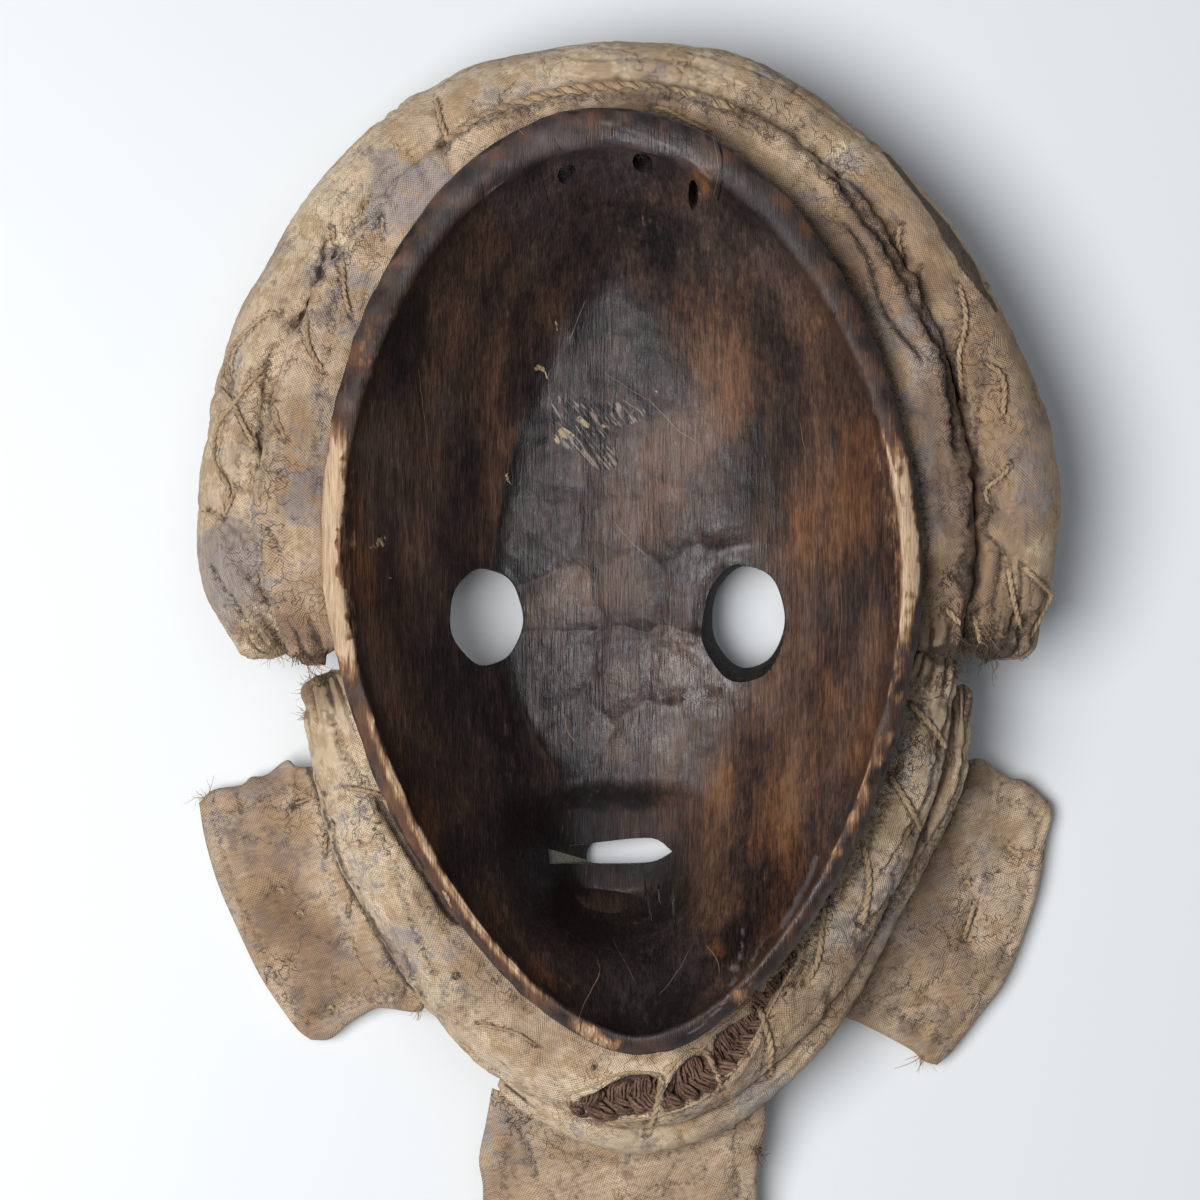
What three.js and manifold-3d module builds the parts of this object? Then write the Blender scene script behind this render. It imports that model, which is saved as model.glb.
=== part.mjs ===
// A carved wooden face mask with its stuffed cloth headdress, lying on its face with the hollow up.
// Millimetres. +Z is up, +Y runs towards the crown and +X towards the right as seen into the hollow.
// The mask frame, in which the sizes are given, has its origin on the table under the middle of the
// wooden rim. The whole group is then moved so that the part's own origin is under its box's centre.
import * as THREE from "three";
import { mergeVertices } from "three/addons/utils/BufferGeometryUtils.js";
import Module from "manifold-3d";

const wasm = await Module();
wasm.setup();

// The mask frame's origin in the part's own frame.
const MASK_ORIGIN = [-0.7, 30];

// Gap kept between pieces that touch.
const GAP = 0.35;

// Outline of the wooden rim: two half superellipses that meet at the widest line.
const RIM = {
  height: 66,
  halfWidth: 75.5,
  widestY: 5,
  crownReach: 114,
  chinReach: 124,
  crownPower: 1.95,
  chinPower: 1.68,
  lean: -0.035,
  lipWidth: 5.5,
  crownLipExtra: 5,
  crownDrop: 2.2,
  sideHeight: 60,
  lipRise: 2.2,
};

// The hollow: a flat pointed floor, walls that rise from it to the lip, and a pocket at the mouth.
const HOLLOW = {
  floorHeight: 18.5,
  floorHalfWidth: 31.5,
  floorUp: 71,
  floorDown: 61,
  floorUpPower: 1.45,
  floorDownPower: 2.2,
  wallPower: 0.75,
  pocket: { x: -1.5, y: -68, halfWidth: 19, halfLength: 14, height: 11.5 },
};

// The carved face, which looks down at the table.
const FACE = {
  depth: 51,
  sidePower: 2.6,
  crownPowerExtra: 2.4,
  chinPowerExtra: 1.0,
  roundness: 0.75,
  middleX: -2,
  eyeSpan: 32.5,
  eyeY: -9,
  eyeHalfWidth: 10.1,
  eyeHalfLength: 12.4,
  mouthY: -69.5,
};

// Spokes and rings in the wooden shell's two faces, and how far their middles sit towards the mouth.
const SPOKES = 60;
const INNER_RINGS = 12;
const LIP_RINGS = 3;
const OUTER_RINGS = 18;
const INNER_SLIDE = -16;
const OUTER_SLIDE = -42;

const MATERIALS = {
  wood: new THREE.MeshStandardMaterial({ color: 0x4a3026, roughness: 0.45, metalness: 0 }),
  cloth: new THREE.MeshStandardMaterial({ color: 0xa58a6c, roughness: 0.95, metalness: 0 }),
  fibre: new THREE.MeshStandardMaterial({ color: 0x4f3a2e, roughness: 0.9, metalness: 0 }),
  cord: new THREE.MeshStandardMaterial({ color: 0xa98c63, roughness: 0.9, metalness: 0 }),
};

const bell = (value, spread) => Math.exp(-((value / spread) ** 2));
const ramp = (value, low, high) => THREE.MathUtils.smoothstep(value, low, high);

// Distance from the middle to a pair of half superellipses, one above and one below the widest line.
function ovalReach(angle, halfWidth, up, down, upPower, downPower) {
  const sine = Math.sin(angle);
  const [reach, power] = sine > 0 ? [up, upPower] : [down, downPower];
  const across = (Math.abs(Math.cos(angle)) / halfWidth) ** power;
  const along = (Math.abs(sine) / reach) ** power;
  return (across + along) ** (-1 / power);
}

const rimReach = (angle) =>
  ovalReach(angle, RIM.halfWidth, RIM.crownReach, RIM.chinReach, RIM.crownPower, RIM.chinPower);

const floorReach = (angle) =>
  ovalReach(
    angle,
    HOLLOW.floorHalfWidth,
    HOLLOW.floorUp,
    HOLLOW.floorDown,
    HOLLOW.floorUpPower,
    HOLLOW.floorDownPower,
  );

// The lip is narrow at the sides and broad at the crown.
const lipWidth = (angle) => RIM.lipWidth + RIM.crownLipExtra * Math.max(0, Math.sin(angle)) ** 2;

// The spoke's angle through a point of the mask, and the distance out along it, with the lean undone.
function onSpoke(x, y) {
  const [across, along] = [x - RIM.lean * y, y - RIM.widestY];
  return { angle: Math.atan2(along, across), distance: Math.hypot(across, along) };
}

// Height of the lip's inner edge, which drops a little towards the crown.
const lipHeight = (angle) => RIM.height - RIM.crownDrop * ramp(Math.sin(angle), 0, 1);

function hollowHeight(x, y) {
  const { angle, distance } = onSpoke(x, y);
  const lip = rimReach(angle) - lipWidth(angle);
  const climb = THREE.MathUtils.clamp((lip - distance) / (lip - floorReach(angle)), 0, 1);
  const top = lipHeight(angle);
  const wall = top - (top - HOLLOW.floorHeight) * climb ** HOLLOW.wallPower;
  const pocket = HOLLOW.pocket;
  const away = Math.hypot((x - pocket.x) / pocket.halfWidth, (y - pocket.y) / pocket.halfLength);
  const inside = 1 - ramp(away, 0.75, 1.25);
  return THREE.MathUtils.lerp(wall, Math.min(wall, pocket.height), inside);
}

// Height that the nose adds: a wedge that widens and deepens down to its tip, with two wings.
function noseRise(x, y) {
  const [bridgeY, tipY] = [4, -40];
  const down = THREE.MathUtils.clamp((bridgeY - y) / (bridgeY - tipY), 0, 1);
  const fade = ramp(y, tipY - 5, tipY + 1) * (1 - ramp(y, bridgeY, bridgeY + 16));
  const wings = 3.4 * (bell(x - 8, 4) + bell(x + 8, 4)) * bell(y - tipY - 3, 5.5);
  return fade * ((2 + 7.5 * down ** 1.3) * bell(x, 5 + 4.5 * down) + wings);
}

// Height that the mouth adds: a rounded muzzle that carries two lips on either side of the slit.
function mouthRise(x, y) {
  const up = y - FACE.mouthY;
  const muzzle = 8.5 * bell(x, 27) * bell(up - 2, 22);
  const lips = 7.5 * bell(x, 17) * (bell(up - 5, 4.6) + bell(up + 5, 4.8));
  return muzzle + lips;
}

// Height that the forehead, its ridge, the brow and the chin add.
function headRise(x, y) {
  const forehead = 10.8 * bell(x, 44) * bell(y - 52, 36);
  const ridge = 1.3 * bell(x, 3.6) * ramp(y, 4, 20) * (1 - ramp(y, 84, 100));
  const brow = 2.4 * bell(y - 13 + (x / 26) ** 2, 5) * bell(x, 46);
  const chin = 5 * bell(x, 20) * bell(y + 98, 11);
  return forehead + ridge + brow + chin;
}

// Height that one side's raised eye ring and cheek add, with the hollow round the eye taken off.
function sideRise(x, y) {
  const across = (x - FACE.eyeSpan) / FACE.eyeHalfWidth;
  const along = (y - FACE.eyeY) / FACE.eyeHalfLength;
  const away = Math.hypot(across, along);
  const cheek = 2.4 * bell(x - 34, 16) * bell(y + 43, 18);
  return 2.6 * bell(away - 1.32, 0.24) - 2.4 * bell(away, 2.1) + cheek;
}

// Height of the carved face, flat where it rests on the table.
function faceHeight(x, y) {
  const { angle, distance } = onSpoke(x, y);
  const share = distance / rimReach(angle);
  const extra = Math.sin(angle) > 0 ? FACE.crownPowerExtra : FACE.chinPowerExtra;
  const power = FACE.sidePower + extra * Math.sin(angle) ** 2;
  const dome = RIM.sideHeight - FACE.depth * Math.max(0, 1 - share ** power) ** FACE.roundness;
  const across = x - FACE.middleX;
  const rise = noseRise(across, y) + mouthRise(across, y) + headRise(across, y);
  const sides = sideRise(across, y) + sideRise(-across, y);
  return Math.max(0, dome - (rise + sides) * (1 - ramp(share, 0.8, 1)));
}

// A point at a share of the way out to a reach. Rings near the middle slide towards the mouth.
function shellPoint(angle, reach, share = 1, slide = 0) {
  const y = RIM.widestY + slide * (1 - share) + share * reach * Math.sin(angle);
  return [share * reach * Math.cos(angle) + RIM.lean * y, y];
}

const spokeAngles = Array.from({ length: SPOKES }, (_, i) => (i / SPOKES) * 2 * Math.PI);

// Rings of the hollow from the middle out.
function hollowRings() {
  return Array.from({ length: INNER_RINGS }, (_, i) =>
    spokeAngles.map((angle) => {
      const reach = rimReach(angle) - lipWidth(angle);
      const [x, y] = shellPoint(angle, reach, (i + 1) / INNER_RINGS, INNER_SLIDE);
      return [x, y, hollowHeight(x, y)];
    }),
  );
}

// Rings over the rounded lip, from its inner edge to the shell's side.
function lipRings() {
  return Array.from({ length: LIP_RINGS }, (_, i) => {
    const turn = ((i + 1) / (LIP_RINGS + 1)) * Math.PI;
    const out = (1 - Math.cos(turn)) / 2;
    return spokeAngles.map((angle) => {
      const [x, y] = shellPoint(angle, rimReach(angle) - lipWidth(angle) * (1 - out));
      const base = THREE.MathUtils.lerp(lipHeight(angle), RIM.sideHeight + 3, out);
      return [x, y, base + RIM.lipRise * Math.sin(turn)];
    });
  });
}

// Rings of the carved face from the rim in, closer together at the steep side.
function faceRings(grow = 0) {
  return Array.from({ length: OUTER_RINGS }, (_, i) => {
    const share = Math.cos((i / OUTER_RINGS) * (Math.PI / 2)) ** 0.75;
    return spokeAngles.map((angle) => {
      const [x, y] = shellPoint(angle, rimReach(angle), share, OUTER_SLIDE);
      const [grownX, grownY] = shellPoint(angle, rimReach(angle) + grow, share, OUTER_SLIDE);
      return [grownX, grownY, faceHeight(x, y) - grow * (1 - share)];
    });
  });
}

// A closed mesh from rings of equal length, with a point at each end.
function closedRings(start, rings, end) {
  const count = rings[0].length;
  const points = [start, ...rings.flat(), end];
  const last = points.length - 1;
  const triangles = [];
  for (let i = 0; i < count; i++) {
    const next = (i + 1) % count;
    triangles.push(0, 1 + i, 1 + next);
    for (let r = 0; r < rings.length - 1; r++) {
      const [a, b] = [1 + r * count + i, 1 + r * count + next];
      triangles.push(a, a + count, b, b, a + count, b + count);
    }
    const base = 1 + (rings.length - 1) * count;
    triangles.push(base + i, last, base + next);
  }
  const geometry = new THREE.BufferGeometry();
  geometry.setAttribute("position", new THREE.Float32BufferAttribute(points.flat(), 3));
  geometry.setIndex(triangles);
  return geometry;
}

// A manifold-3d solid from any closed geometry, and back.
function solidOf(geometry) {
  const bare = geometry.clone();
  bare.deleteAttribute("normal");
  bare.deleteAttribute("uv");
  const merged = mergeVertices(bare, 1e-4);
  return new wasm.Manifold(
    new wasm.Mesh({
      numProp: 3,
      vertProperties: new Float32Array(merged.attributes.position.array),
      triVerts: new Uint32Array(merged.index.array),
    }),
  );
}

const without = (solid, ...others) => others.reduce((left, other) => left.subtract(other), solid);

function geometryOf(solid) {
  const mesh = solid.getMesh();
  const geometry = new THREE.BufferGeometry();
  geometry.setAttribute("position", new THREE.BufferAttribute(mesh.vertProperties, 3));
  geometry.setIndex(new THREE.BufferAttribute(mesh.triVerts, 1));
  const flat = geometry.toNonIndexed();
  flat.computeVertexNormals();
  return flat;
}

// A round or oval cutter along a leaning axis through a point.
function boreCutter([x, y, z], halfWidth, halfLength, lean, turn = 0, sides = 20) {
  const reach = 60;
  const bore = new THREE.CylinderGeometry(1, 1, reach, sides);
  bore.rotateX(Math.PI / 2);
  bore.scale(halfWidth, halfLength, 1);
  bore.rotateZ(turn);
  const axis = new THREE.Vector3(...lean, 1).normalize();
  const tilt = new THREE.Quaternion().setFromUnitVectors(new THREE.Vector3(0, 0, 1), axis);
  bore.applyQuaternion(tilt);
  bore.translate(x, y, z);
  return solidOf(bore);
}

// The mouth slit: straight cut at its left end and pointed at its right.
function mouthCutter() {
  const [left, right, half] = [-13.6, 13.6, 3.2];
  const outline = new THREE.Shape();
  outline.moveTo(left, -half * 0.75);
  outline.quadraticCurveTo(0, -half * 1.25, right - 5, -half * 0.8);
  outline.lineTo(right, 0);
  outline.quadraticCurveTo(right - 5, half * 1.3, 0, half * 0.95);
  outline.lineTo(left, half * 0.15);
  const slit = new THREE.ExtrudeGeometry(outline, { depth: 40, bevelEnabled: false, curveSegments: 5 });
  slit.translate(-0.5, FACE.mouthY - 0.5, -10);
  return solidOf(slit);
}

// Two cord holes and a knife cut through the crown, drilled square to its sloping wall.
const CROWN_HOLES = [
  { at: [-14.3, 104.5, 52], halfWidth: 2.1, halfLength: 2.4, lean: [0.1, -0.55], turn: 0 },
  { at: [4.9, 108, 54], halfWidth: 2.3, halfLength: 2.7, lean: [0, -0.55], turn: 0 },
  { at: [19.6, 99, 50], halfWidth: 1.5, halfLength: 5.6, lean: [-0.2, -0.6], turn: 0.3 },
];

function faceShell() {
  const [inX, inY] = shellPoint(0, 0, 0, INNER_SLIDE);
  const [outX, outY] = shellPoint(0, 0, 0, OUTER_SLIDE);
  const inMiddle = [inX, inY, hollowHeight(inX, inY)];
  const outMiddle = [outX, outY, faceHeight(outX, outY)];
  const rings = [...hollowRings(), ...lipRings(), ...faceRings()];
  const leftEye = [FACE.middleX - FACE.eyeSpan, FACE.eyeY, 18];
  const rightEye = [FACE.middleX + FACE.eyeSpan, FACE.eyeY, 18];
  return without(
    solidOf(closedRings(inMiddle, rings, outMiddle)),
    boreCutter(leftEye, FACE.eyeHalfWidth, FACE.eyeHalfLength, [0.12, 0.02]),
    boreCutter(rightEye, FACE.eyeHalfWidth, FACE.eyeHalfLength + 0.8, [-0.3, -0.16]),
    mouthCutter(),
    ...CROWN_HOLES.map((h) => boreCutter(h.at, h.halfWidth, h.halfLength, h.lean, h.turn, 10)),
  );
}

// The shell's outside with its hollow filled, grown by a gap, for fitting the cloth to it.
function shellEnvelope(gap) {
  const rings = faceRings(gap);
  const top = RIM.height + 12;
  const lid = rings[0].map(([x, y]) => [x, y, top]);
  const [x, y] = shellPoint(0, 0, 0, OUTER_SLIDE);
  return solidOf(closedRings([x, y, top], [lid, ...rings], [x, y, faceHeight(x, y) - gap]));
}

// A stuffed roll is a row of keys round the rim, in order: the spoke's angle in degrees, the distance out
// from the rim's edge, the height, the half width and the half depth of its oval section.
const ROLLS = {
  crown: [
    [191, 16.3, 35, 8.6, 10],
    [179, 23.3, 35, 9.6, 11.5],
    [160, 25.4, 35, 9.6, 12],
    [128, 20.5, 35, 9.4, 12],
    [107, 15.4, 35.5, 8.8, 11.5],
    [90, 12.4, 36, 8.2, 11],
    [70, 18.7, 35.5, 9.8, 11.5],
    [48, 24.1, 35, 11.6, 12.5],
    [28, 26.7, 35, 12.2, 12.5],
    [7, 24.8, 35, 12, 12.5],
    [-12, 21.2, 35, 10.6, 10.5],
  ],
  innerCrown: [
    [194, 3.2, 46, 8, 7],
    [179, 5.2, 47, 11, 8.8],
    [160, 5.8, 47, 11.8, 10],
    [128, 2.8, 46, 10.6, 9.4],
    [96, -2.6, 46, 7.6, 7.5],
    [77, 1.4, 45.5, 9, 8.5],
    [57, 5.2, 44.5, 11.2, 9.8],
    [32, 4.6, 44.5, 11.6, 9.8],
    [4, 3.4, 44.5, 11.2, 9.2],
    [-14, 3.4, 43.5, 8, 6.6],
  ],
  jaw: [
    [203, 3.4, 41, 7.6, 5.5],
    [212, 3.6, 41, 11, 8],
    [222, 4.2, 40, 13.2, 10],
    [244, 5.6, 38, 14.8, 11.5],
    [257, 7.6, 36.5, 14.6, 11.3],
    [270, 6.6, 36, 13.8, 10.5],
    [285, 5.2, 37, 13.8, 10.6],
    [301, 2.4, 39, 13.6, 11],
    [326, 3.2, 41, 12, 9],
    [342, 4.6, 41, 7.6, 5],
  ],
  jawEdge: [
    [337, 14.9, 33, 3.2, 4],
    [322, 18.1, 32, 3.8, 4.6],
    [300, 16.8, 30.5, 3.9, 5],
    [282, 21.2, 29.5, 4.2, 5],
    [270, 23, 29, 4.8, 5],
    [260, 21.7, 29, 3.2, 3.8],
  ],
  plait: [
    [265, 17.5, 43.5, 3.2, 3],
    [272, 12.8, 45, 4.8, 4],
    [283, 8.3, 46.5, 5, 4],
    [295, 3.7, 48, 3, 3],
  ],
  rope: [
    [109, 8.2, 50, 1.7, 1.7],
    [92, 5.6, 49.6, 1.7, 1.7],
    [76, 9.2, 50.2, 1.7, 1.7],
  ],
};

// The point at a distance out from the rim's edge, square to the outline, at a height.
function besideRim(angle, out, height) {
  const edge = (a) => new THREE.Vector3(...shellPoint(a, rimReach(a)), height);
  const along = edge(angle + 0.01).sub(edge(angle - 0.01)).normalize();
  return edge(angle).addScaledVector(new THREE.Vector3(along.y, -along.x, 0), out);
}

// The rings at a roll's gathered ends: the share of its section, and the step back from the end.
const ROLL_ENDS = [
  [0.45, 0.62],
  [0.82, 0.36],
];

function roll(keys, { rings, sides, grow = 0 }) {
  const line = (pick) => new THREE.CatmullRomCurve3(keys.map((key) => new THREE.Vector3(...pick(key))));
  const places = line(([angle, out, height]) => [THREE.MathUtils.degToRad(angle), out, height]);
  const sizes = line(([, , , halfWidth, halfDepth]) => [halfWidth, halfDepth, 0]);
  const up = new THREE.Vector3(0, 0, 1);
  const middle = (t) => besideRim(...places.getPoint(t).toArray());
  const frame = (t) => {
    const along = middle(Math.min(1, t + 0.004)).sub(middle(Math.max(0, t - 0.004))).normalize();
    const side = new THREE.Vector3().crossVectors(along, up).normalize();
    return { along, side, rise: new THREE.Vector3().crossVectors(side, along) };
  };
  const ring = (t, share, step) => {
    const size = sizes.getPoint(t);
    const { along, side, rise } = frame(t);
    const centre = middle(t).addScaledVector(along, step * (size.y + grow));
    return Array.from({ length: sides }, (_, k) => {
      const turn = (k / sides) * 2 * Math.PI;
      const out = (size.x + grow) * share * Math.cos(turn);
      const lift = (size.y + grow) * share * Math.sin(turn);
      return centre.clone().addScaledVector(side, out).addScaledVector(rise, lift).toArray();
    });
  };
  const tip = (t, step) => middle(t).addScaledVector(frame(t).along, step * (sizes.getPoint(t).y + grow));
  const list = [
    ...ROLL_ENDS.map(([share, step]) => ring(0, share, -step)),
    ...Array.from({ length: rings }, (_, i) => ring(i / (rings - 1), 1, 0)),
    ...ROLL_ENDS.map(([share, step]) => ring(1, share, step)).reverse(),
  ];
  return solidOf(closedRings(tip(0, -0.7).toArray(), list, tip(1, 0.7).toArray()));
}

// Corners of the stuffed flaps: two on the edge sewn under the jaw roll, then the two free ones.
const FLAPS = {
  left_ear_flap: {
    corners: [
      [-67, -44],
      [-46, -101],
      [-79, -116],
      [-107, -54.5],
    ],
    bow: [-0.5, 1.5],
  },
  right_ear_flap: {
    corners: [
      [50, -104],
      [79, -49],
      [108, -56.5],
      [79, -122],
    ],
    bow: [8, 1.5],
  },
  chin_flap: {
    corners: [
      [-36.5, -128],
      [36, -130],
      [34.5, -196.5],
      [-36, -197],
    ],
    bow: [2.5, 2],
  },
};
const FLAP_THICKNESS = 11;
const FLAP_SEWN_HEIGHT = 22;
const FLAP_LYING_HEIGHT = 4.2;
const FLAP_STEPS = 8;

// A stuffed flap: two pillowed faces that droop from the sewn edge and lie flat on the table.
function flap({ corners, bow }) {
  const [sewnA, sewnB, freeB, freeA] = corners.map(([x, y]) => new THREE.Vector3(x, y, 0));
  const outward = freeA.clone().add(freeB).sub(sewnA).sub(sewnB).normalize();
  const lengthwise = sewnB.clone().sub(sewnA).normalize();
  const edge = (s) => Math.sqrt(Math.max(0, 1 - (2 * s - 1) ** 4));
  const point = (u, v, face) => {
    const place = sewnA.clone().lerp(sewnB, u).lerp(freeA.clone().lerp(freeB, u), v);
    place.addScaledVector(outward, bow[0] * 4 * v * u * (1 - u));
    place.addScaledVector(lengthwise, bow[1] * 4 * v * (1 - v) * (2 * u - 1));
    const droop = THREE.MathUtils.lerp(FLAP_LYING_HEIGHT, FLAP_SEWN_HEIGHT, (1 - v) ** 2);
    const height = droop + face * (FLAP_THICKNESS / 2) * edge(u) * edge(v);
    return [place.x, place.y, Math.max(0, height)];
  };
  const steps = Array.from({ length: FLAP_STEPS }, (_, k) => (2 * k) / FLAP_STEPS - 1);
  const border = [
    ...steps.map((s) => [s, -1]),
    ...steps.map((s) => [1, s]),
    ...steps.map((s) => [-s, 1]),
    ...steps.map((s) => [-1, -s]),
  ];
  const ring = (share, face) => border.map(([u, v]) => point((1 + u * share) / 2, (1 + v * share) / 2, face));
  const shares = [0.3, 0.6, 0.8, 0.93];
  const rings = [
    ...shares.map((share) => ring(share, -1)),
    ring(1, 0),
    ...shares.map((share) => ring(share, 1)).reverse(),
  ];
  return solidOf(closedRings(point(0.5, 0.5, -1), rings, point(0.5, 0.5, 1)));
}

function mesh(name, solid, material) {
  const made = new THREE.Mesh(geometryOf(solid), material);
  made.name = name;
  return made;
}

const envelope = shellEnvelope(GAP);
const COARSE = {
  crown: { rings: 32, sides: 10 },
  innerCrown: { rings: 26, sides: 8 },
  jaw: { rings: 24, sides: 10 },
  jawEdge: { rings: 16, sides: 8 },
  plait: { rings: 9, sides: 8 },
  rope: { rings: 12, sides: 6 },
};
const plainRoll = (name) => roll(ROLLS[name], COARSE[name]);
const grownRoll = (name) => roll(ROLLS[name], { ...COARSE[name], grow: GAP });

const crownGrown = grownRoll("crown");
const innerGrown = grownRoll("innerCrown");
const jawGrown = grownRoll("jaw");
const edgeGrown = grownRoll("jawEdge");
const crown = without(plainRoll("crown"), envelope);
const inner = without(plainRoll("innerCrown"), envelope, crownGrown);
const rope = without(plainRoll("rope"), envelope, crownGrown, innerGrown);
const jaw = without(plainRoll("jaw"), envelope, crownGrown, innerGrown, grownRoll("plait"));
const jawEdge = without(plainRoll("jawEdge"), jawGrown, crownGrown);
const plait = without(plainRoll("plait"), envelope, edgeGrown);

const mask = new THREE.Group();
mask.add(mesh("face_shell", faceShell(), MATERIALS.wood));
mask.add(mesh("crown_roll", crown, MATERIALS.cloth));
mask.add(mesh("inner_crown_roll", inner, MATERIALS.cloth));
mask.add(mesh("jaw_roll", jaw, MATERIALS.cloth));
mask.add(mesh("jaw_edge_roll", jawEdge, MATERIALS.cloth));
mask.add(mesh("plaited_core", plait, MATERIALS.fibre));
mask.add(mesh("crown_rope", rope, MATERIALS.cord));
for (const [name, sizes] of Object.entries(FLAPS)) {
  const pad = without(flap(sizes), jawGrown, edgeGrown, envelope);
  mask.add(mesh(name, pad, MATERIALS.cloth));
}
mask.position.set(...MASK_ORIGIN, 0);

export default mask;
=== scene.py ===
"""A carved wooden face mask and its stuffed cloth headdress, lying on its face, seen into its hollow."""
import math

import bmesh
import bpy
import numpy as np
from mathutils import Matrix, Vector
from mathutils.bvhtree import BVHTree


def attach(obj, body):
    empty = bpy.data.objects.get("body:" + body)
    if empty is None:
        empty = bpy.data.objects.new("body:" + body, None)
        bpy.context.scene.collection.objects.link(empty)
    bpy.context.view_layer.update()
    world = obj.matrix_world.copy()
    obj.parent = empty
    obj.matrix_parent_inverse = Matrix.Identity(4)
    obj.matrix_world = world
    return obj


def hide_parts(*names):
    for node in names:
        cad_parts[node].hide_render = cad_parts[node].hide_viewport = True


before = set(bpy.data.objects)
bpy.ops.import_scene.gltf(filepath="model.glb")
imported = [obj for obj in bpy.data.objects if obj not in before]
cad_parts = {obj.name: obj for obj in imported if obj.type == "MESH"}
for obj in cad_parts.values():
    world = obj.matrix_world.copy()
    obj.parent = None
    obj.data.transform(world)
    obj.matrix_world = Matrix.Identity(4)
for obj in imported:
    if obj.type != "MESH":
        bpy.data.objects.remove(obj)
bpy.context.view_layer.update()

# Sizes are millimetres in the mask frame: its origin is on the table under the middle of the rim,
# +Y runs towards the crown and +X to the right as seen into the hollow. row() gives the row frame.
MM = 0.001
MASK_ORIGIN = np.array([-0.7, 30.0, 0.0])

# The picture frame: 1200 pixels square, seen from straight above, a quarter millimetre a pixel at the rim.
PIXEL = 0.25
PICTURE_ORIGIN = (623.0, 581.0)
PICTURE_SIZE = 1200
RIM_PLANE = 66.0
CAMERA_RISE = 1500.0
CAMERA_AT = (-5.75, -4.75)

RIM = dict(
    height=66.0, half_width=75.5, widest_y=5.0, crown_reach=114.0, chin_reach=124.0, crown_power=1.95,
    chin_power=1.68, lean=-0.035, lip_width=5.5, crown_lip_extra=5.0, crown_drop=2.2, side_height=60.0,
    lip_rise=2.2,
)
HOLLOW = dict(
    floor_height=18.5, half_width=31.5, up=71.0, down=61.0, up_power=1.45, down_power=2.2, wall_power=0.75,
    pocket_at=(-1.5, -68.0), pocket_half=(19.0, 14.0), pocket_height=11.5,
)
FACE = dict(
    depth=51.0, side_power=2.6, crown_power_extra=2.4, chin_power_extra=1.0, roundness=0.75, middle_x=-2.0,
    eye_span=32.5, eye_y=-9.0, eye_half_width=10.1, eye_half_length=12.4, mouth_y=-69.5,
)
SPOKES = 460
INNER_RINGS, LIP_RINGS, OUTER_RINGS = 128, 10, 60
INNER_SLIDE, OUTER_SLIDE = -16.0, -42.0

# Each key of a stuffed roll: the spoke's angle in degrees, the distance out from the rim's edge, the
# height, the half width and the half depth of its oval section.
ROLLS = dict(
    crown=[
        (191, 16.3, 35, 8.6, 10), (179, 23.3, 35, 9.6, 11.5), (160, 25.4, 35, 9.6, 12),
        (128, 20.5, 35, 9.4, 12), (107, 15.4, 35.5, 8.8, 11.5), (90, 12.4, 36, 8.2, 11),
        (70, 18.7, 35.5, 9.8, 11.5), (48, 24.1, 35, 11.6, 12.5), (28, 26.7, 35, 12.2, 12.5),
        (7, 24.8, 35, 12, 12.5), (-12, 21.2, 35, 10.6, 10.5),
    ],
    inner_crown=[
        (194, 3.2, 46, 8, 7), (179, 5.2, 47, 11, 8.8), (160, 5.8, 47, 11.8, 10), (128, 2.8, 46, 10.6, 9.4),
        (96, -2.6, 46, 7.6, 7.5), (77, 1.4, 45.5, 9, 8.5), (57, 5.2, 44.5, 11.2, 9.8),
        (32, 4.6, 44.5, 11.6, 9.8), (4, 3.4, 44.5, 11.2, 9.2), (-14, 3.4, 43.5, 8, 6.6),
    ],
    jaw=[
        (203, 3.4, 41, 7.6, 5.5), (212, 3.6, 41, 11, 8), (222, 4.2, 40, 13.2, 10), (244, 5.6, 38, 14.8, 11.5),
        (257, 7.6, 36.5, 14.6, 11.3), (270, 6.6, 36, 13.8, 10.5), (285, 5.2, 37, 13.8, 10.6),
        (301, 2.4, 39, 13.6, 11), (326, 3.2, 41, 12, 9), (342, 4.6, 41, 7.6, 5),
    ],
    jaw_edge=[
        (337, 14.9, 33, 3.2, 4), (322, 18.1, 32, 3.8, 4.6), (300, 16.8, 30.5, 3.9, 5),
        (282, 21.2, 29.5, 4.2, 5), (270, 23, 29, 4.8, 5), (260, 21.7, 29, 3.2, 3.8),
    ],
    plait=[(265, 17.5, 43.5, 3.2, 3), (272, 12.8, 45, 4.8, 4), (283, 8.3, 46.5, 5, 4), (295, 3.7, 48, 3, 3)],
    rope=[(109, 8.2, 50, 1.7, 1.7), (92, 5.6, 49.6, 1.7, 1.7), (76, 9.2, 50.2, 1.7, 1.7)],
)

# Numbers and noise


def smoothstep(value, low, high):
    t = np.clip((value - low) / (high - low), 0.0, 1.0)
    return t * t * (3.0 - 2.0 * t)


def bell(value, spread):
    return np.exp(-((value / spread) ** 2))


def mix(a, b, share):
    return a + (b - a) * share


def unit(vectors):
    return vectors / np.maximum(np.linalg.norm(vectors, axis=-1, keepdims=True), 1e-9)


def run_of(line):
    """How far along a line each of its points lies."""
    return np.concatenate([[0], np.cumsum(np.linalg.norm(np.diff(line, axis=0), axis=1))])


LATTICE = 32
SEED_SHIFT = 7.3


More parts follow.
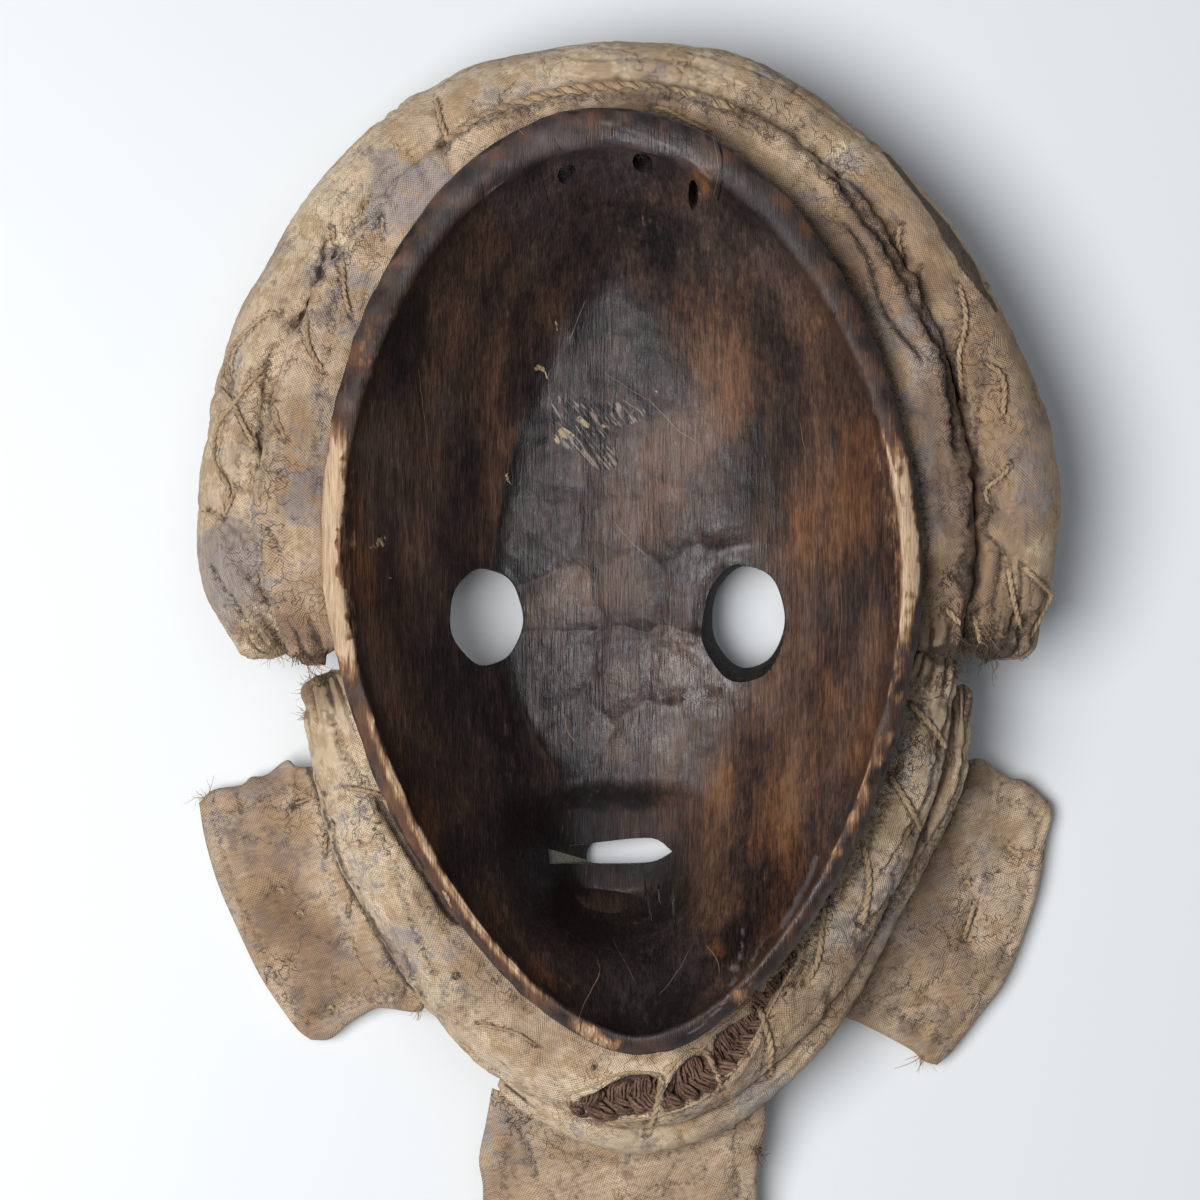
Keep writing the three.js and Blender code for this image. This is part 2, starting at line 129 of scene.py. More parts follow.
def noise(points, size, seed=0):
    """Smooth noise from -1 to 1 at points, in millimetres, with lumps of about that size."""
    grid = np.random.RandomState(seed).rand(LATTICE, LATTICE, LATTICE) * 2.0 - 1.0
    place = np.asarray(points, float) / size + SEED_SHIFT * seed
    cell = np.floor(place).astype(int)
    t = place - cell
    t = t * t * (3.0 - 2.0 * t)
    total = 0.0
    for i in (0, 1):
        for j in (0, 1):
            for k in (0, 1):
                share = (t[..., 0] if i else 1 - t[..., 0]) * (t[..., 1] if j else 1 - t[..., 1])
                share = share * (t[..., 2] if k else 1 - t[..., 2])
                at = (cell + (i, j, k)) % LATTICE
                total = total + share * grid[at[..., 0], at[..., 1], at[..., 2]]
    return total


def fractal(points, size, seed=0, octaves=3):
    return sum(noise(points, size / 2**i, seed + i) / 2**i for i in range(octaves))


def noises(points, size, seeds):
    """Noises that don't depend on each other, as the parts of a vector."""
    return np.stack([noise(points, size, seed) for seed in seeds], -1)


# Places


def row(points):
    """Points of the mask frame, in millimetres, as points of the row frame, in metres."""
    return (np.asarray(points, float) + MASK_ORIGIN) * MM


def mask(points):
    return np.asarray(points, float) / MM - MASK_ORIGIN


def picture(points):
    """Where points of the mask frame show in the picture, in pixels."""
    points = np.asarray(points, float)
    spread = CAMERA_RISE / (CAMERA_RISE + RIM_PLANE - points[..., 2])
    x = CAMERA_AT[0] + (points[..., 0] - CAMERA_AT[0]) * spread
    y = CAMERA_AT[1] + (points[..., 1] - CAMERA_AT[1]) * spread
    return np.stack([PICTURE_ORIGIN[0] + x / PIXEL, PICTURE_ORIGIN[1] - y / PIXEL], -1)


def under(pixel, height):
    """The point at a height that shows at a pixel of the picture, or the points for rows of both."""
    pixel = np.asarray(pixel, float)
    x = (pixel[..., 0] - PICTURE_ORIGIN[0]) * PIXEL
    y = (PICTURE_ORIGIN[1] - pixel[..., 1]) * PIXEL
    spread = (CAMERA_RISE + RIM_PLANE - height) / CAMERA_RISE
    x = CAMERA_AT[0] + (x - CAMERA_AT[0]) * spread
    y = CAMERA_AT[1] + (y - CAMERA_AT[1]) * spread
    return np.stack([x, y, np.broadcast_to(height, x.shape)], -1)


CURVE_STEPS = 24


def smooth_line(points, count):
    """count points on a Catmull-Rom curve through the given ones, evenly spaced along it."""
    points = np.asarray(points, float)
    padded = np.vstack([2 * points[0] - points[1], points, 2 * points[-1] - points[-2]])
    t = np.linspace(0, 1, CURVE_STEPS, endpoint=False)[:, None]
    dense = []
    for i in range(len(points) - 1):
        a, b, c, d = padded[i : i + 4]
        dense.append(0.5 * (2 * b + (c - a) * t + (2 * a - 5 * b + 4 * c - d) * t**2
                            + (3 * b - 3 * c + d - a) * t**3))
    dense = np.vstack(dense + [points[-1:]])
    run = run_of(dense)
    at = np.linspace(0, run[-1], count)
    return np.stack([np.interp(at, run, dense[:, k]) for k in range(dense.shape[1])], -1)


def distance_to_line(points, line):
    """Distance of each flat point from a row of points, and the share of the way along it."""
    best = np.full(len(points), 1e9)
    share = np.zeros(len(points))
    for i, (a, b) in enumerate(zip(line[:-1], line[1:])):
        along = b - a
        t = np.clip(((points - a) @ along) / max(along @ along, 1e-9), 0, 1)
        away = np.linalg.norm(points - a - t[:, None] * along, axis=1)
        closer = away < best
        best[closer] = away[closer]
        share[closer] = (i + t[closer]) / (len(line) - 1)
    return best, share


# The wooden shell's form, worked out as in the part's source


def oval_reach(angle, half_width, up, down, up_power, down_power):
    upper = np.sin(angle) > 0
    reach, power = np.where(upper, up, down), np.where(upper, up_power, down_power)
    across = (np.abs(np.cos(angle)) / half_width) ** power
    along = (np.abs(np.sin(angle)) / reach) ** power
    return (across + along) ** (-1 / power)


def rim_reach(angle):
    return oval_reach(angle, RIM["half_width"], RIM["crown_reach"], RIM["chin_reach"],
                      RIM["crown_power"], RIM["chin_power"])


def floor_reach(angle):
    return oval_reach(angle, HOLLOW["half_width"], HOLLOW["up"], HOLLOW["down"],
                      HOLLOW["up_power"], HOLLOW["down_power"])


def lip_width(angle):
    return RIM["lip_width"] + RIM["crown_lip_extra"] * np.maximum(0, np.sin(angle)) ** 2


def lip_height(angle):
    return RIM["height"] - RIM["crown_drop"] * smoothstep(np.sin(angle), 0, 1)


def on_spoke(x, y):
    across, along = x - RIM["lean"] * y, y - RIM["widest_y"]
    return np.arctan2(along, across), np.hypot(across, along)


def hollow_height(x, y):
    angle, distance = on_spoke(x, y)
    lip = rim_reach(angle) - lip_width(angle)
    climb = np.clip((lip - distance) / (lip - floor_reach(angle)), 0, 1)
    top = lip_height(angle)
    wall = top - (top - HOLLOW["floor_height"]) * climb ** HOLLOW["wall_power"]
    (px, py), (half_x, half_y) = HOLLOW["pocket_at"], HOLLOW["pocket_half"]
    inside = 1 - smoothstep(np.hypot((x - px) / half_x, (y - py) / half_y), 0.75, 1.25)
    return mix(wall, np.minimum(wall, HOLLOW["pocket_height"]), inside)


def nose_rise(x, y):
    bridge_y, tip_y = 4.0, -40.0
    down = np.clip((bridge_y - y) / (bridge_y - tip_y), 0, 1)
    fade = smoothstep(y, tip_y - 5, tip_y + 1) * (1 - smoothstep(y, bridge_y, bridge_y + 16))
    wings = 3.4 * (bell(x - 8, 4) + bell(x + 8, 4)) * bell(y - tip_y - 3, 5.5)
    return fade * ((2 + 7.5 * down**1.3) * bell(x, 5 + 4.5 * down) + wings)


def mouth_rise(x, y):
    up = y - FACE["mouth_y"]
    return 8.5 * bell(x, 27) * bell(up - 2, 22) + 7.5 * bell(x, 17) * (bell(up - 5, 4.6) + bell(up + 5, 4.8))


def head_rise(x, y):
    forehead = 10.8 * bell(x, 44) * bell(y - 52, 36)
    ridge = 1.3 * bell(x, 3.6) * smoothstep(y, 4, 20) * (1 - smoothstep(y, 84, 100))
    brow = 2.4 * bell(y - 13 + (x / 26) ** 2, 5) * bell(x, 46)
    return forehead + ridge + brow + 5 * bell(x, 20) * bell(y + 98, 11)


def side_rise(x, y):
    across = (x - FACE["eye_span"]) / FACE["eye_half_width"]
    away = np.hypot(across, (y - FACE["eye_y"]) / FACE["eye_half_length"])
    cheek = 2.4 * bell(x - 34, 16) * bell(y + 43, 18)
    return 2.6 * bell(away - 1.32, 0.24) - 2.4 * bell(away, 2.1) + cheek


def face_height(x, y):
    angle, distance = on_spoke(x, y)
    share = distance / rim_reach(angle)
    extra = np.where(np.sin(angle) > 0, FACE["crown_power_extra"], FACE["chin_power_extra"])
    power = FACE["side_power"] + extra * np.sin(angle) ** 2
    dome = RIM["side_height"] - FACE["depth"] * np.maximum(0, 1 - share**power) ** FACE["roundness"]
    across = x - FACE["middle_x"]
    rise = nose_rise(across, y) + mouth_rise(across, y) + head_rise(across, y)
    rise = rise + side_rise(across, y) + side_rise(-across, y)
    return np.maximum(0, dome - rise * (1 - smoothstep(share, 0.8, 1)))


def shell_point(angle, reach, share=1.0, slide=0.0):
    y = RIM["widest_y"] + slide * (1 - share) + share * reach * np.sin(angle)
    return share * reach * np.cos(angle) + RIM["lean"] * y, y


def beside_rim(angle, out, height):
    """The points at distances out from the rim's edge, square to the outline."""

    def edge(a):
        return np.stack([*shell_point(a, rim_reach(a)), np.zeros_like(a)], -1)

    nearby = 0.01
    along = unit(edge(angle + nearby) - edge(angle - nearby))
    normal = np.stack([along[..., 1], -along[..., 0], np.zeros_like(angle)], -1)
    place = edge(angle) + out[..., None] * normal
    place[..., 2] = height
    return place


# Meshes


def placed(name, data):
    """A new object in the scene that shows a mesh, a lamp or a camera."""
    made = bpy.data.objects.new(name, data)
    bpy.context.scene.collection.objects.link(made)
    return made


def mesh_object(name, points, faces):
    """A mesh object from mask-frame points and faces of equal length."""
    mesh = bpy.data.meshes.new(name)
    faces = np.asarray(faces, np.int32)
    mesh.vertices.add(len(points))
    mesh.vertices.foreach_set("co", row(points).astype(np.float32).ravel())
    mesh.loops.add(faces.size)
    mesh.loops.foreach_set("vertex_index", faces.ravel())
    mesh.polygons.add(len(faces))
    mesh.polygons.foreach_set("loop_start", np.arange(0, faces.size, faces.shape[1], dtype=np.int32))
    mesh.update(calc_edges=True)
    mesh.polygons.foreach_set("use_smooth", np.full(len(faces), True))
    return placed(name, mesh)


def ring_faces(rings, count, start=0):
    """Quads between rings of count points each, which close on themselves."""
    r, k = np.meshgrid(np.arange(rings - 1), np.arange(count), indexing="ij")
    a, b = start + r * count + k, start + r * count + (k + 1) % count
    return np.stack([a, a + count, b + count, b], -1).reshape(-1, 4)


def closed_rings(name, start, rings, end):
    """A closed mesh from rings of points, with a point at each end."""
    rings = np.asarray(rings, float)
    count = rings.shape[1]
    points = np.vstack([[start], rings.reshape(-1, 3), [end]])
    made = mesh_object(name, points, ring_faces(len(rings), count, 1))
    edit = bmesh.new()
    edit.from_mesh(made.data)
    edit.verts.ensure_lookup_table()
    last = len(points) - 1
    for k in range(count):
        after = (k + 1) % count
        edit.faces.new([edit.verts[i] for i in (0, 1 + k, 1 + after)]).smooth = True
        base = last - count
        edit.faces.new([edit.verts[i] for i in (base + k, last, base + after)]).smooth = True
    bmesh.ops.recalc_face_normals(edit, faces=edit.faces)
    edit.to_mesh(made.data)
    edit.free()
    return made


def grid_normals(rings):
    """Unit normals of a grid of rings that close on themselves, pointing out of the solid."""
    along = np.gradient(rings, axis=0)
    around = np.roll(rings, -1, axis=1) - np.roll(rings, 1, axis=1)
    return unit(np.cross(along, around))


def points_of(obj):
    """An object's vertices in the mask frame."""
    places = np.empty(len(obj.data.vertices) * 3, np.float32)
    obj.data.vertices.foreach_get("co", places)
    return mask(places.reshape(-1, 3).astype(float))


def paint(obj, name, values):
    """Writes a value, or a vector, for each vertex, for the materials to read."""
    values = np.asarray(values, np.float32)
    kind, field = ("FLOAT_VECTOR", "vector") if values.ndim == 2 else ("FLOAT", "value")
    obj.data.attributes.new(name, kind, "POINT").data.foreach_set(field, values.ravel())


def apply_modifiers(obj):
    bpy.context.view_layer.objects.active = obj
    for modifier in list(obj.modifiers):
        with bpy.context.temp_override(object=obj, active_object=obj, selected_objects=[obj]):
            bpy.ops.object.modifier_apply(modifier=modifier.name)


def cut(obj, cutters):
    for cutter in cutters:
        modifier = obj.modifiers.new("cut", "BOOLEAN")
        modifier.object, modifier.operation, modifier.solver = cutter, "DIFFERENCE", "MANIFOLD"
    apply_modifiers(obj)
    obj.data.materials.clear()
    obj.data.polygons.foreach_set("material_index", np.zeros(len(obj.data.polygons), np.int32))
    for cutter in cutters:
        bpy.data.objects.remove(cutter)


# Materials


class Look:
    """A material, with a short way to add nodes to it. Positions are millimetres of the row frame."""

    def __init__(self, name, roughness=0.8):
        self.material = bpy.data.materials.new(name)
        self.material.use_nodes = True
        self.tree = self.material.node_tree
        self.shader = self.tree.nodes["Principled BSDF"]
        self.shader.inputs["Roughness"].default_value = roughness
        at = self.tree.nodes.new("ShaderNodeTexCoord").outputs["Object"]
        self.place = self.vector("MULTIPLY", at, (1000, 1000, 1000))

    def node(self, kind, settings=None, inputs=None):
        made = self.tree.nodes.new(kind)
        for name, value in (settings or {}).items():
            setattr(made, name, value)
        for key, value in (inputs or {}).items():
            if isinstance(value, bpy.types.NodeSocket):
                self.tree.links.new(value, made.inputs[key])
            elif value is not None:
                made.inputs[key].default_value = value
        return made

    def vector(self, operation, a, b):
        return self.node("ShaderNodeVectorMath", {"operation": operation}, {0: a, 1: b}).outputs[0]

    def math(self, operation, a, b=0.0, clamp=False):
        settings = {"operation": operation, "use_clamp": clamp}
        return self.node("ShaderNodeMath", settings, {0: a, 1: b}).outputs[0]

    def add(self, a, b):
        return self.math("ADD", a, b)

    def less(self, a, b):
        return self.math("SUBTRACT", a, b)

    def times(self, a, b):
        return self.math("MULTIPLY", a, b)

    def both(self, a, b):
        return self.math("MULTIPLY", a, b, clamp=True)

    def weighted(self, *parts):
        """The sum of values, each times its weight."""
        total = self.times(*parts[0])
        for value, weight in parts[1:]:
            total = self.add(total, self.times(value, weight))
        return total

    def stretch(self, scale, place=None):
        return self.vector("MULTIPLY", place or self.place, scale)

    def noise(self, size, detail=3.0, place=None, rough=0.55, seed=0.0):
        moved = self.vector("ADD", place or self.place, (seed * 31.7, seed * 17.3, seed * 11.9))
        settings = {"noise_dimensions": "3D"}
        inputs = {"Vector": moved, "Scale": 1 / size, "Detail": detail, "Roughness": rough}
        return self.node("ShaderNodeTexNoise", settings, inputs).outputs["Fac"]

    def steps(self, value, low, high, to_low=0.0, to_high=1.0):
        inputs = {"Value": value, "From Min": low, "From Max": high, "To Min": to_low, "To Max": to_high}
        settings = {"interpolation_type": "SMOOTHSTEP"}
        return self.node("ShaderNodeMapRange", settings, inputs).outputs["Result"]

    def ramp(self, value, stops):
        made = self.node("ShaderNodeValToRGB", inputs={0: value})
        points = made.color_ramp.elements
        while len(points) < len(stops):
            points.new(0.5)
        for point, (at, colour) in zip(points, stops):
            point.position, point.color = at, (*colour, 1)
        return made.outputs["Color"]

    def mix(self, share, a, b, blend="MIX"):
        made = self.node("ShaderNodeMix", {"data_type": "RGBA", "blend_type": blend}, {"Factor": share})
        for socket, value in ((made.inputs[6], a), (made.inputs[7], b)):
            if isinstance(value, bpy.types.NodeSocket):
                self.tree.links.new(value, socket)
            else:
                socket.default_value = (*value, 1)
        return made.outputs[2]

    def painted(self, name):
        return self.node("ShaderNodeAttribute", {"attribute_name": name}).outputs["Fac"]

    def painted_vector(self, name):
        return self.node("ShaderNodeAttribute", {"attribute_name": name}).outputs["Vector"]

    def bump(self, height, millimetres, before=None, strength=1.0):
        inputs = {"Strength": strength, "Distance": millimetres * MM, "Height": height, "Normal": before}
        return self.node("ShaderNodeBump", {}, inputs).outputs["Normal"]

    def finish(self, colour, normal=None, roughness=None):
        self.tree.links.new(colour, self.shader.inputs["Base Color"])
        if normal is not None:
            self.tree.links.new(normal, self.shader.inputs["Normal"])
        if roughness is not None:
            self.tree.links.new(roughness, self.shader.inputs["Roughness"])
        return self.material


# Thin marks on the wood: width in millimetres, strength and path in pixels.
PALE_LINES = [
    (0.2, 0.4, ((711, 130), (716, 147), (718, 164), (717, 180), (713, 196))),
    (0.2, 0.9, ((566, 400), (578, 414), (589, 430))), (0.18, 0.8, ((556, 418), (563, 428), (572, 440))),
    (0.22, 0.9, ((575, 446), (594, 466))), (0.16, 0.8, ((600, 405), (612, 416), (622, 428))),
    (0.16, 0.7, ((622, 399), (640, 412))), (0.15, 0.8, ((648, 398), (662, 413), (676, 428), (699, 444))),
    (0.14, 0.8, ((614, 522), (630, 540), (647, 556))), (0.13, 0.5, ((418, 368), (426, 430), (433, 498))),
    (0.13, 0.5, ((603, 372), (625, 386), (650, 402))), (0.12, 0.5, ((612, 938), (624, 960), (634, 980))),
    (0.12, 0.5, ((690, 950), (676, 974), (660, 994))), (0.15, 0.6, ((585, 300), (577, 322), (570, 340))),
    (0.12, 0.4, ((668, 560), (671, 600), (669, 640))), (0.12, 0.4, ((640, 560), (642, 610), (645, 650))),
    (0.13, 0.4, ((402, 470), (405, 520), (411, 560))), (0.12, 0.35, ((372, 400), (368, 450), (368, 500))),
    (0.14, 0.5, ((800, 420), (806, 470), (803, 520))), (0.13, 0.4, ((838, 560), (842, 610), (838, 660))),
    (0.16, 0.8, ((596, 957), (600, 970), (592, 988), (585, 1002), (579, 1018), (575, 1042))),
    (0.16, 0.7, ((706, 944), (716, 958), (719, 972))), (0.14, 0.6, ((562, 700), (566, 726), (575, 742))),
]
DARK_LINES = [
    (0.15, 1.0, ((594, 936), (598, 955), (603, 969), (594, 990), (588, 1004), (582, 1020), (578, 1040))),
    (0.42, 1.0, ((715, 128), (720, 145), (723, 164), (722, 182), (717, 202))),
    (0.2, 0.9, ((552, 137), (563, 152))), (0.24, 0.9, ((481, 179), (485, 206))),
    (0.2, 0.9, ((553, 690), (560, 708), (573, 722))), (0.2, 0.7, ((527, 770), (530, 790), (541, 806))),
    (0.2, 0.8, ((520, 160), (528, 180), (531, 200))), (0.2, 0.8, ((540, 168), (545, 190), (550, 204))),
    (0.16, 0.7, ((684, 500), (690, 540), (688, 580))), (0.2, 0.8, ((520, 885), (533, 905), (540, 930))),
]

# The wood's colours, each with the tone or the wear at which it stands.
BROWN_TONES = [
    (0.08, (0.01, 0.007, 0.007)), (0.34, (0.036, 0.021, 0.017)), (0.56, (0.088, 0.045, 0.029)),
    (0.85, (0.2, 0.105, 0.06)),
]
SOOTY_TONES = [
    (0.08, (0.01, 0.008, 0.009)), (0.42, (0.045, 0.033, 0.033)), (0.66, (0.1, 0.071, 0.066)),
    (0.9, (0.185, 0.138, 0.125)),
]
WARM_TONES = [(0.25, (0.06, 0.024, 0.012)), (0.55, (0.16, 0.064, 0.026)), (0.8, (0.27, 0.12, 0.052))]
OUTER_TONES = [(0.2, (0.014, 0.01, 0.009)), (0.8, (0.075, 0.042, 0.028))]
BARE_TONES = [
    (0.6, (0.06, 0.03, 0.022)), (0.75, (0.16, 0.08, 0.045)), (0.88, (0.36, 0.2, 0.105)),
    (1.0, (0.7, 0.51, 0.34)),
]
FIBRE_SHADES = [(0.36, (0.6, 0.52, 0.45)), (0.6, (1.08, 1.08, 1.08))]
# The cut walls' tones, near black: painted shade inside the holes.
SHADED_CUT_TONES = [(0.35, (0.006, 0.004, 0.004)), (0.6, (0.02, 0.013, 0.01)), (0.75, (0.07, 0.045, 0.028))]
MOUTH_SLOPE = (0.3, 0.29, 0.235)
HIGHLIGHT_COLOUR = (0.27, 0.25, 0.26)
GRIME_AND_SHADE_COLOUR = (0.007, 0.005, 0.005)
LINE_COLOURS = dict(pale_line=(0.3, 0.2, 0.125), dark_line=(0.006, 0.004, 0.004))
HATCH_CUT, HATCH_LIFTED = (0.006, 0.004, 0.005), (0.3, 0.25, 0.22)
HATCH_TURN = (0, 0, math.radians(35))
CHIPPED = (0.52, 0.39, 0.22)


def smoked_wood(look, streaks, grain, mottle):
    """The handled wood: brown, sooty where it is painted grey and warmer where it is painted orange."""
    steady = look.less(1.0, look.times(look.painted("rim"), 0.75))
    run = look.times(look.less(streaks, 0.5), 0.5)
    run = look.times(look.add(run, look.steps(grain, 0.36, 0.64, -0.1, 0.1)), steady)
    tone = look.add(look.painted("tone"), run)
    tone = look.add(tone, look.times(look.less(mottle, 0.5), 0.3))
    colour = look.mix(look.painted("grey"), look.ramp(tone, BROWN_TONES), look.ramp(tone, SOOTY_TONES))
    warm = look.weighted((look.painted("orange"), 1.0), (streaks, 0.45), (grain, 0.25), (mottle, 0.3))
    colour = look.mix(look.steps(warm, 0.66, 1.2, 0.0, 0.9), colour, look.ramp(tone, WARM_TONES))
    return look.mix(look.painted("inner"), look.ramp(tone, OUTER_TONES), colour)


def worn_wood(look, colour, broken, streaks, grain):
    """Pale bare wood over a colour where the shell is worn, and how worn it is."""
    on_lip = look.painted("rim")
    wear = look.times(broken, look.less(0.9, look.times(on_lip, 0.45)))
    wear = look.add(look.add(wear, look.painted("bare")), look.times(on_lip, 0.26))
    pale = look.ramp(look.add(wear, look.times(look.less(grain, 0.5), 0.3)), BARE_TONES)
    fibres = look.ramp(look.weighted((grain, 0.6), (streaks, 0.4)), FIBRE_SHADES)
    worn = look.steps(wear, 0.6, 0.84)
    return look.mix(worn, colour, look.mix(1.0, pale, fibres, "MULTIPLY")), worn


def marked_wood(look, colour, mottle):
    """Scratches, cracks, hatched cuts and chips over a colour."""
    for name, line_colour in LINE_COLOURS.items():
        away = look.math("ABSOLUTE", look.painted(name + "_offset"))
        colour = look.mix(look.both(look.steps(away, 1.6, 0.4), look.painted(name)), colour, line_colour)
    turned = {0: look.place, "Rotation": HATCH_TURN}
    hatch = look.node("ShaderNodeMapping", {"vector_type": "TEXTURE"}, turned)
    cuts = look.noise(0.9, 2, look.stretch((1.0, 0.16, 0.2), hatch.outputs[0]), 0.6, 5)
    near = look.steps(look.add(look.painted("hatch"), look.times(mottle, 0.7)), 0.75, 1.0)
    colour = look.mix(look.both(look.steps(cuts, 0.5, 0.54), near), colour, HATCH_CUT)
    lifted = look.both(look.steps(cuts, 0.44, 0.40), near)
    colour = look.mix(look.times(lifted, 0.75), colour, HATCH_LIFTED)
    chipped = look.steps(look.add(look.painted("chipped"), cuts), 0.98, 1.1)
    chipped = look.both(chipped, look.steps(mottle, 0.4, 0.5))
    return look.mix(look.times(chipped, 0.85), colour, CHIPPED)


def wood_look():
    look = Look("carved_wood")
    streaks = look.noise(1.2, 3, look.stretch((1.0, 0.06, 0.2)), 0.6, 1)
    grain = look.noise(0.42, 2, look.stretch((1.0, 0.07, 0.2)), 0.7, 2)
    mottle = look.noise(2.4, 4, look.stretch((1.0, 0.65, 0.8)), 0.6, 3)
    broken = look.weighted((mottle, 0.62), (streaks, 0.56))
    colour = smoked_wood(look, streaks, grain, mottle)
    colour, worn = worn_wood(look, colour, broken, streaks, grain)
    # A pale grey painted highlight where the painted sheen is strong, broken up by the grain.
    highlight = look.steps(look.add(look.painted("painted_highlight"), look.times(broken, 0.8)), 0.75, 1.3)
    colour = look.mix(look.times(highlight, 0.5), colour, HIGHLIGHT_COLOUR)
    # Grime and painted shade, nearly black, along the crease and the lip's outer side.
    grime_and_shade = look.steps(look.add(look.painted("grime_and_shade"), mottle), 0.75, 1.25)
    colour = look.mix(look.times(grime_and_shade, 0.9), colour, GRIME_AND_SHADE_COLOUR)
    colour = marked_wood(look, colour, mottle)
    height = look.weighted((streaks, 0.5), (grain, 0.4), (mottle, 0.6))
    dull = look.less(look.steps(mottle, 0.3, 0.7, 0.42, 0.6), look.times(look.painted("gloss"), 0.2))
    rough = look.add(dull, look.times(worn, 0.25))
    look.shader.inputs["Specular IOR Level"].default_value = 0.5
    return look.finish(colour, look.bump(height, 0.5), rough)


def bore_look():
    """The dark cut walls of the eye holes and the mouth slit: their near black is painted shade."""
    look = Look("cut_wood", 0.7)
    rough = look.noise(1.6, 4, look.stretch((1, 1, 0.6)), 0.65, 8)
    colour = look.mix(look.painted("slope"), look.ramp(rough, SHADED_CUT_TONES), MOUTH_SLOPE)
    return look.finish(colour, look.bump(rough, 0.6))


WEAVE_PITCH = 0.7
CLOTH_GREY = (0.36, 0.325, 0.33)
CLOTH_BROWN = (0.3, 0.185, 0.115)
CLOTH_OCHRE = (0.5, 0.32, 0.175)
CLOTH_SOIL_AND_SHADE = (0.085, 0.06, 0.048)
# Light and dark colours of the cloths and fibres.
CLEAN_COTTON = (0.84, 0.66, 0.46), (0.47, 0.33, 0.225)
WORN_COTTON = (0.74, 0.555, 0.39), (0.36, 0.245, 0.17)
PALE_CORD = (0.62, 0.46, 0.29), (0.24, 0.15, 0.085)
PLAITED_FIBRE = (0.3, 0.18, 0.128), (0.03, 0.017, 0.013)
DARK_FIBRE = (0.24, 0.17, 0.12), (0.03, 0.02, 0.015)


def cloth_look(name, light, dark):
    """Undyed cotton: its weave, and the stains, dirt and painted shade that are painted on its points, broken
    up.
    """
    look = Look(name, 0.95)
    thread = look.painted_vector("cloth")
    parts = look.node("ShaderNodeSeparateXYZ", {}, {0: thread})
    turns = 2 * math.pi / WEAVE_PITCH
    warp, weft = (look.math("SINE", look.times(parts.outputs[i], turns)) for i in (0, 1))
    slub = look.noise(0.8, 1, look.stretch((0.25, 1, 1), thread), 0.6, 3)
    speckle = look.noise(1.3, 3, None, 0.75, 5)
    patches = look.noise(8.5, 6, None, 0.76, 6)
    crumple = look.noise(4.2, 2, None, 0.6, 7)
    crease = look.steps(look.math("ABSOLUTE", look.less(crumple, 0.5)), 0.022, 0.0)
    light_share = look.add(look.painted("tint"), look.times(speckle, 0.5))
    colour = look.mix(look.steps(light_share, 0.4, 1.05), dark, light)
    colour = look.mix(look.steps(patches, 0.51, 0.42, 0.0, 0.62), colour, CLOTH_OCHRE)

    def broken(attribute, low, high, grain, most):
        return look.times(look.steps(look.add(look.painted(attribute), grain), low, high), most)

    torn = look.weighted((patches, 1.3), (speckle, 0.3))
    colour = look.mix(broken("grey", 0.98, 1.13, torn, 0.72), colour, CLOTH_GREY)
    colour = look.mix(broken("brown", 0.98, 1.24, torn, 0.7), colour, CLOTH_BROWN)
    # Thin creases, painted dark: dirt and painted shade.
    worn = look.both(crease, look.painted("crease"))
    colour = look.mix(look.times(worn, 0.75), colour, CLOTH_SOIL_AND_SHADE)
    # Dirt and painted shade, from the painted attribute.
    colour = look.mix(broken("soil_and_shade", 0.75, 1.2, speckle, 0.88), colour, CLOTH_SOIL_AND_SHADE)
    threads = look.weighted((look.times(warp, weft), 0.3), (slub, 0.6))
    shade = look.steps(threads, -0.1, 0.75, 0.6, 1.25)
    grain = look.node("ShaderNodeCombineXYZ", {}, {0: shade, 1: shade, 2: shade}).outputs[0]
    colour = look.mix(1.0, colour, grain, "MULTIPLY")
    height = look.less(look.add(threads, speckle), look.times(worn, 1.4))
    look.shader.inputs["Specular IOR Level"].default_value = 0.15
    look.shader.inputs["Sheen Weight"].default_value = 0.1
    return look.finish(colour, look.bump(height, 0.33))


def fibre_look(name, light, dark, size=0.5):
    """Dry plant fibre: light and dark strands and little gloss."""
    look = Look(name, 0.8)
    tone = look.weighted((look.noise(size, 3, None, 0.6, 1), 0.6), (look.noise(6, 3, None, 0.6, 2), 0.5))
    colour = look.ramp(tone, [(0.35, dark), (0.72, light)])
    look.shader.inputs["Specular IOR Level"].default_value = 0.2
    return look.finish(colour, look.bump(look.noise(size, 2, None, 0.5, 3), 0.1))


# Camera, light and table


def look_straight_down():
    camera = bpy.data.cameras.new("camera")
    camera.sensor_width = 36.0
    camera.lens = camera.sensor_width * CAMERA_RISE / (PICTURE_SIZE * PIXEL)
    camera.clip_end = 20.0
    seen = placed("camera", camera)
    seen.location = row([*CAMERA_AT, RIM_PLANE + CAMERA_RISE])
    bpy.context.scene.camera = seen


def area_light(name, place, target, size, power, colour):
    light = bpy.data.lights.new(name, "AREA")
    light.shape, light.size, light.energy, light.color = "DISK", size, power, colour
    lamp = placed(name, light)
    lamp.location = place
    lamp.rotation_euler = (Vector(target) - Vector(place)).to_track_quat("-Z", "Y").to_euler()


KEY_LIGHT = dict(
    place=(-0.78, -0.14, 1.85), target=(0, 0, 0.02), size=1.3, power=38.5, colour=(1.0, 0.995, 0.985),
)
OVERHEAD_LIGHT = dict(place=(0.25, 0.3, 2.0), target=(0, 0, 0), size=0.8, power=3.0, colour=(0.88, 0.94, 1.0))
SKY_COLOUR, SKY_STRENGTH = (0.86, 0.93, 1.0, 1.0), 0.09


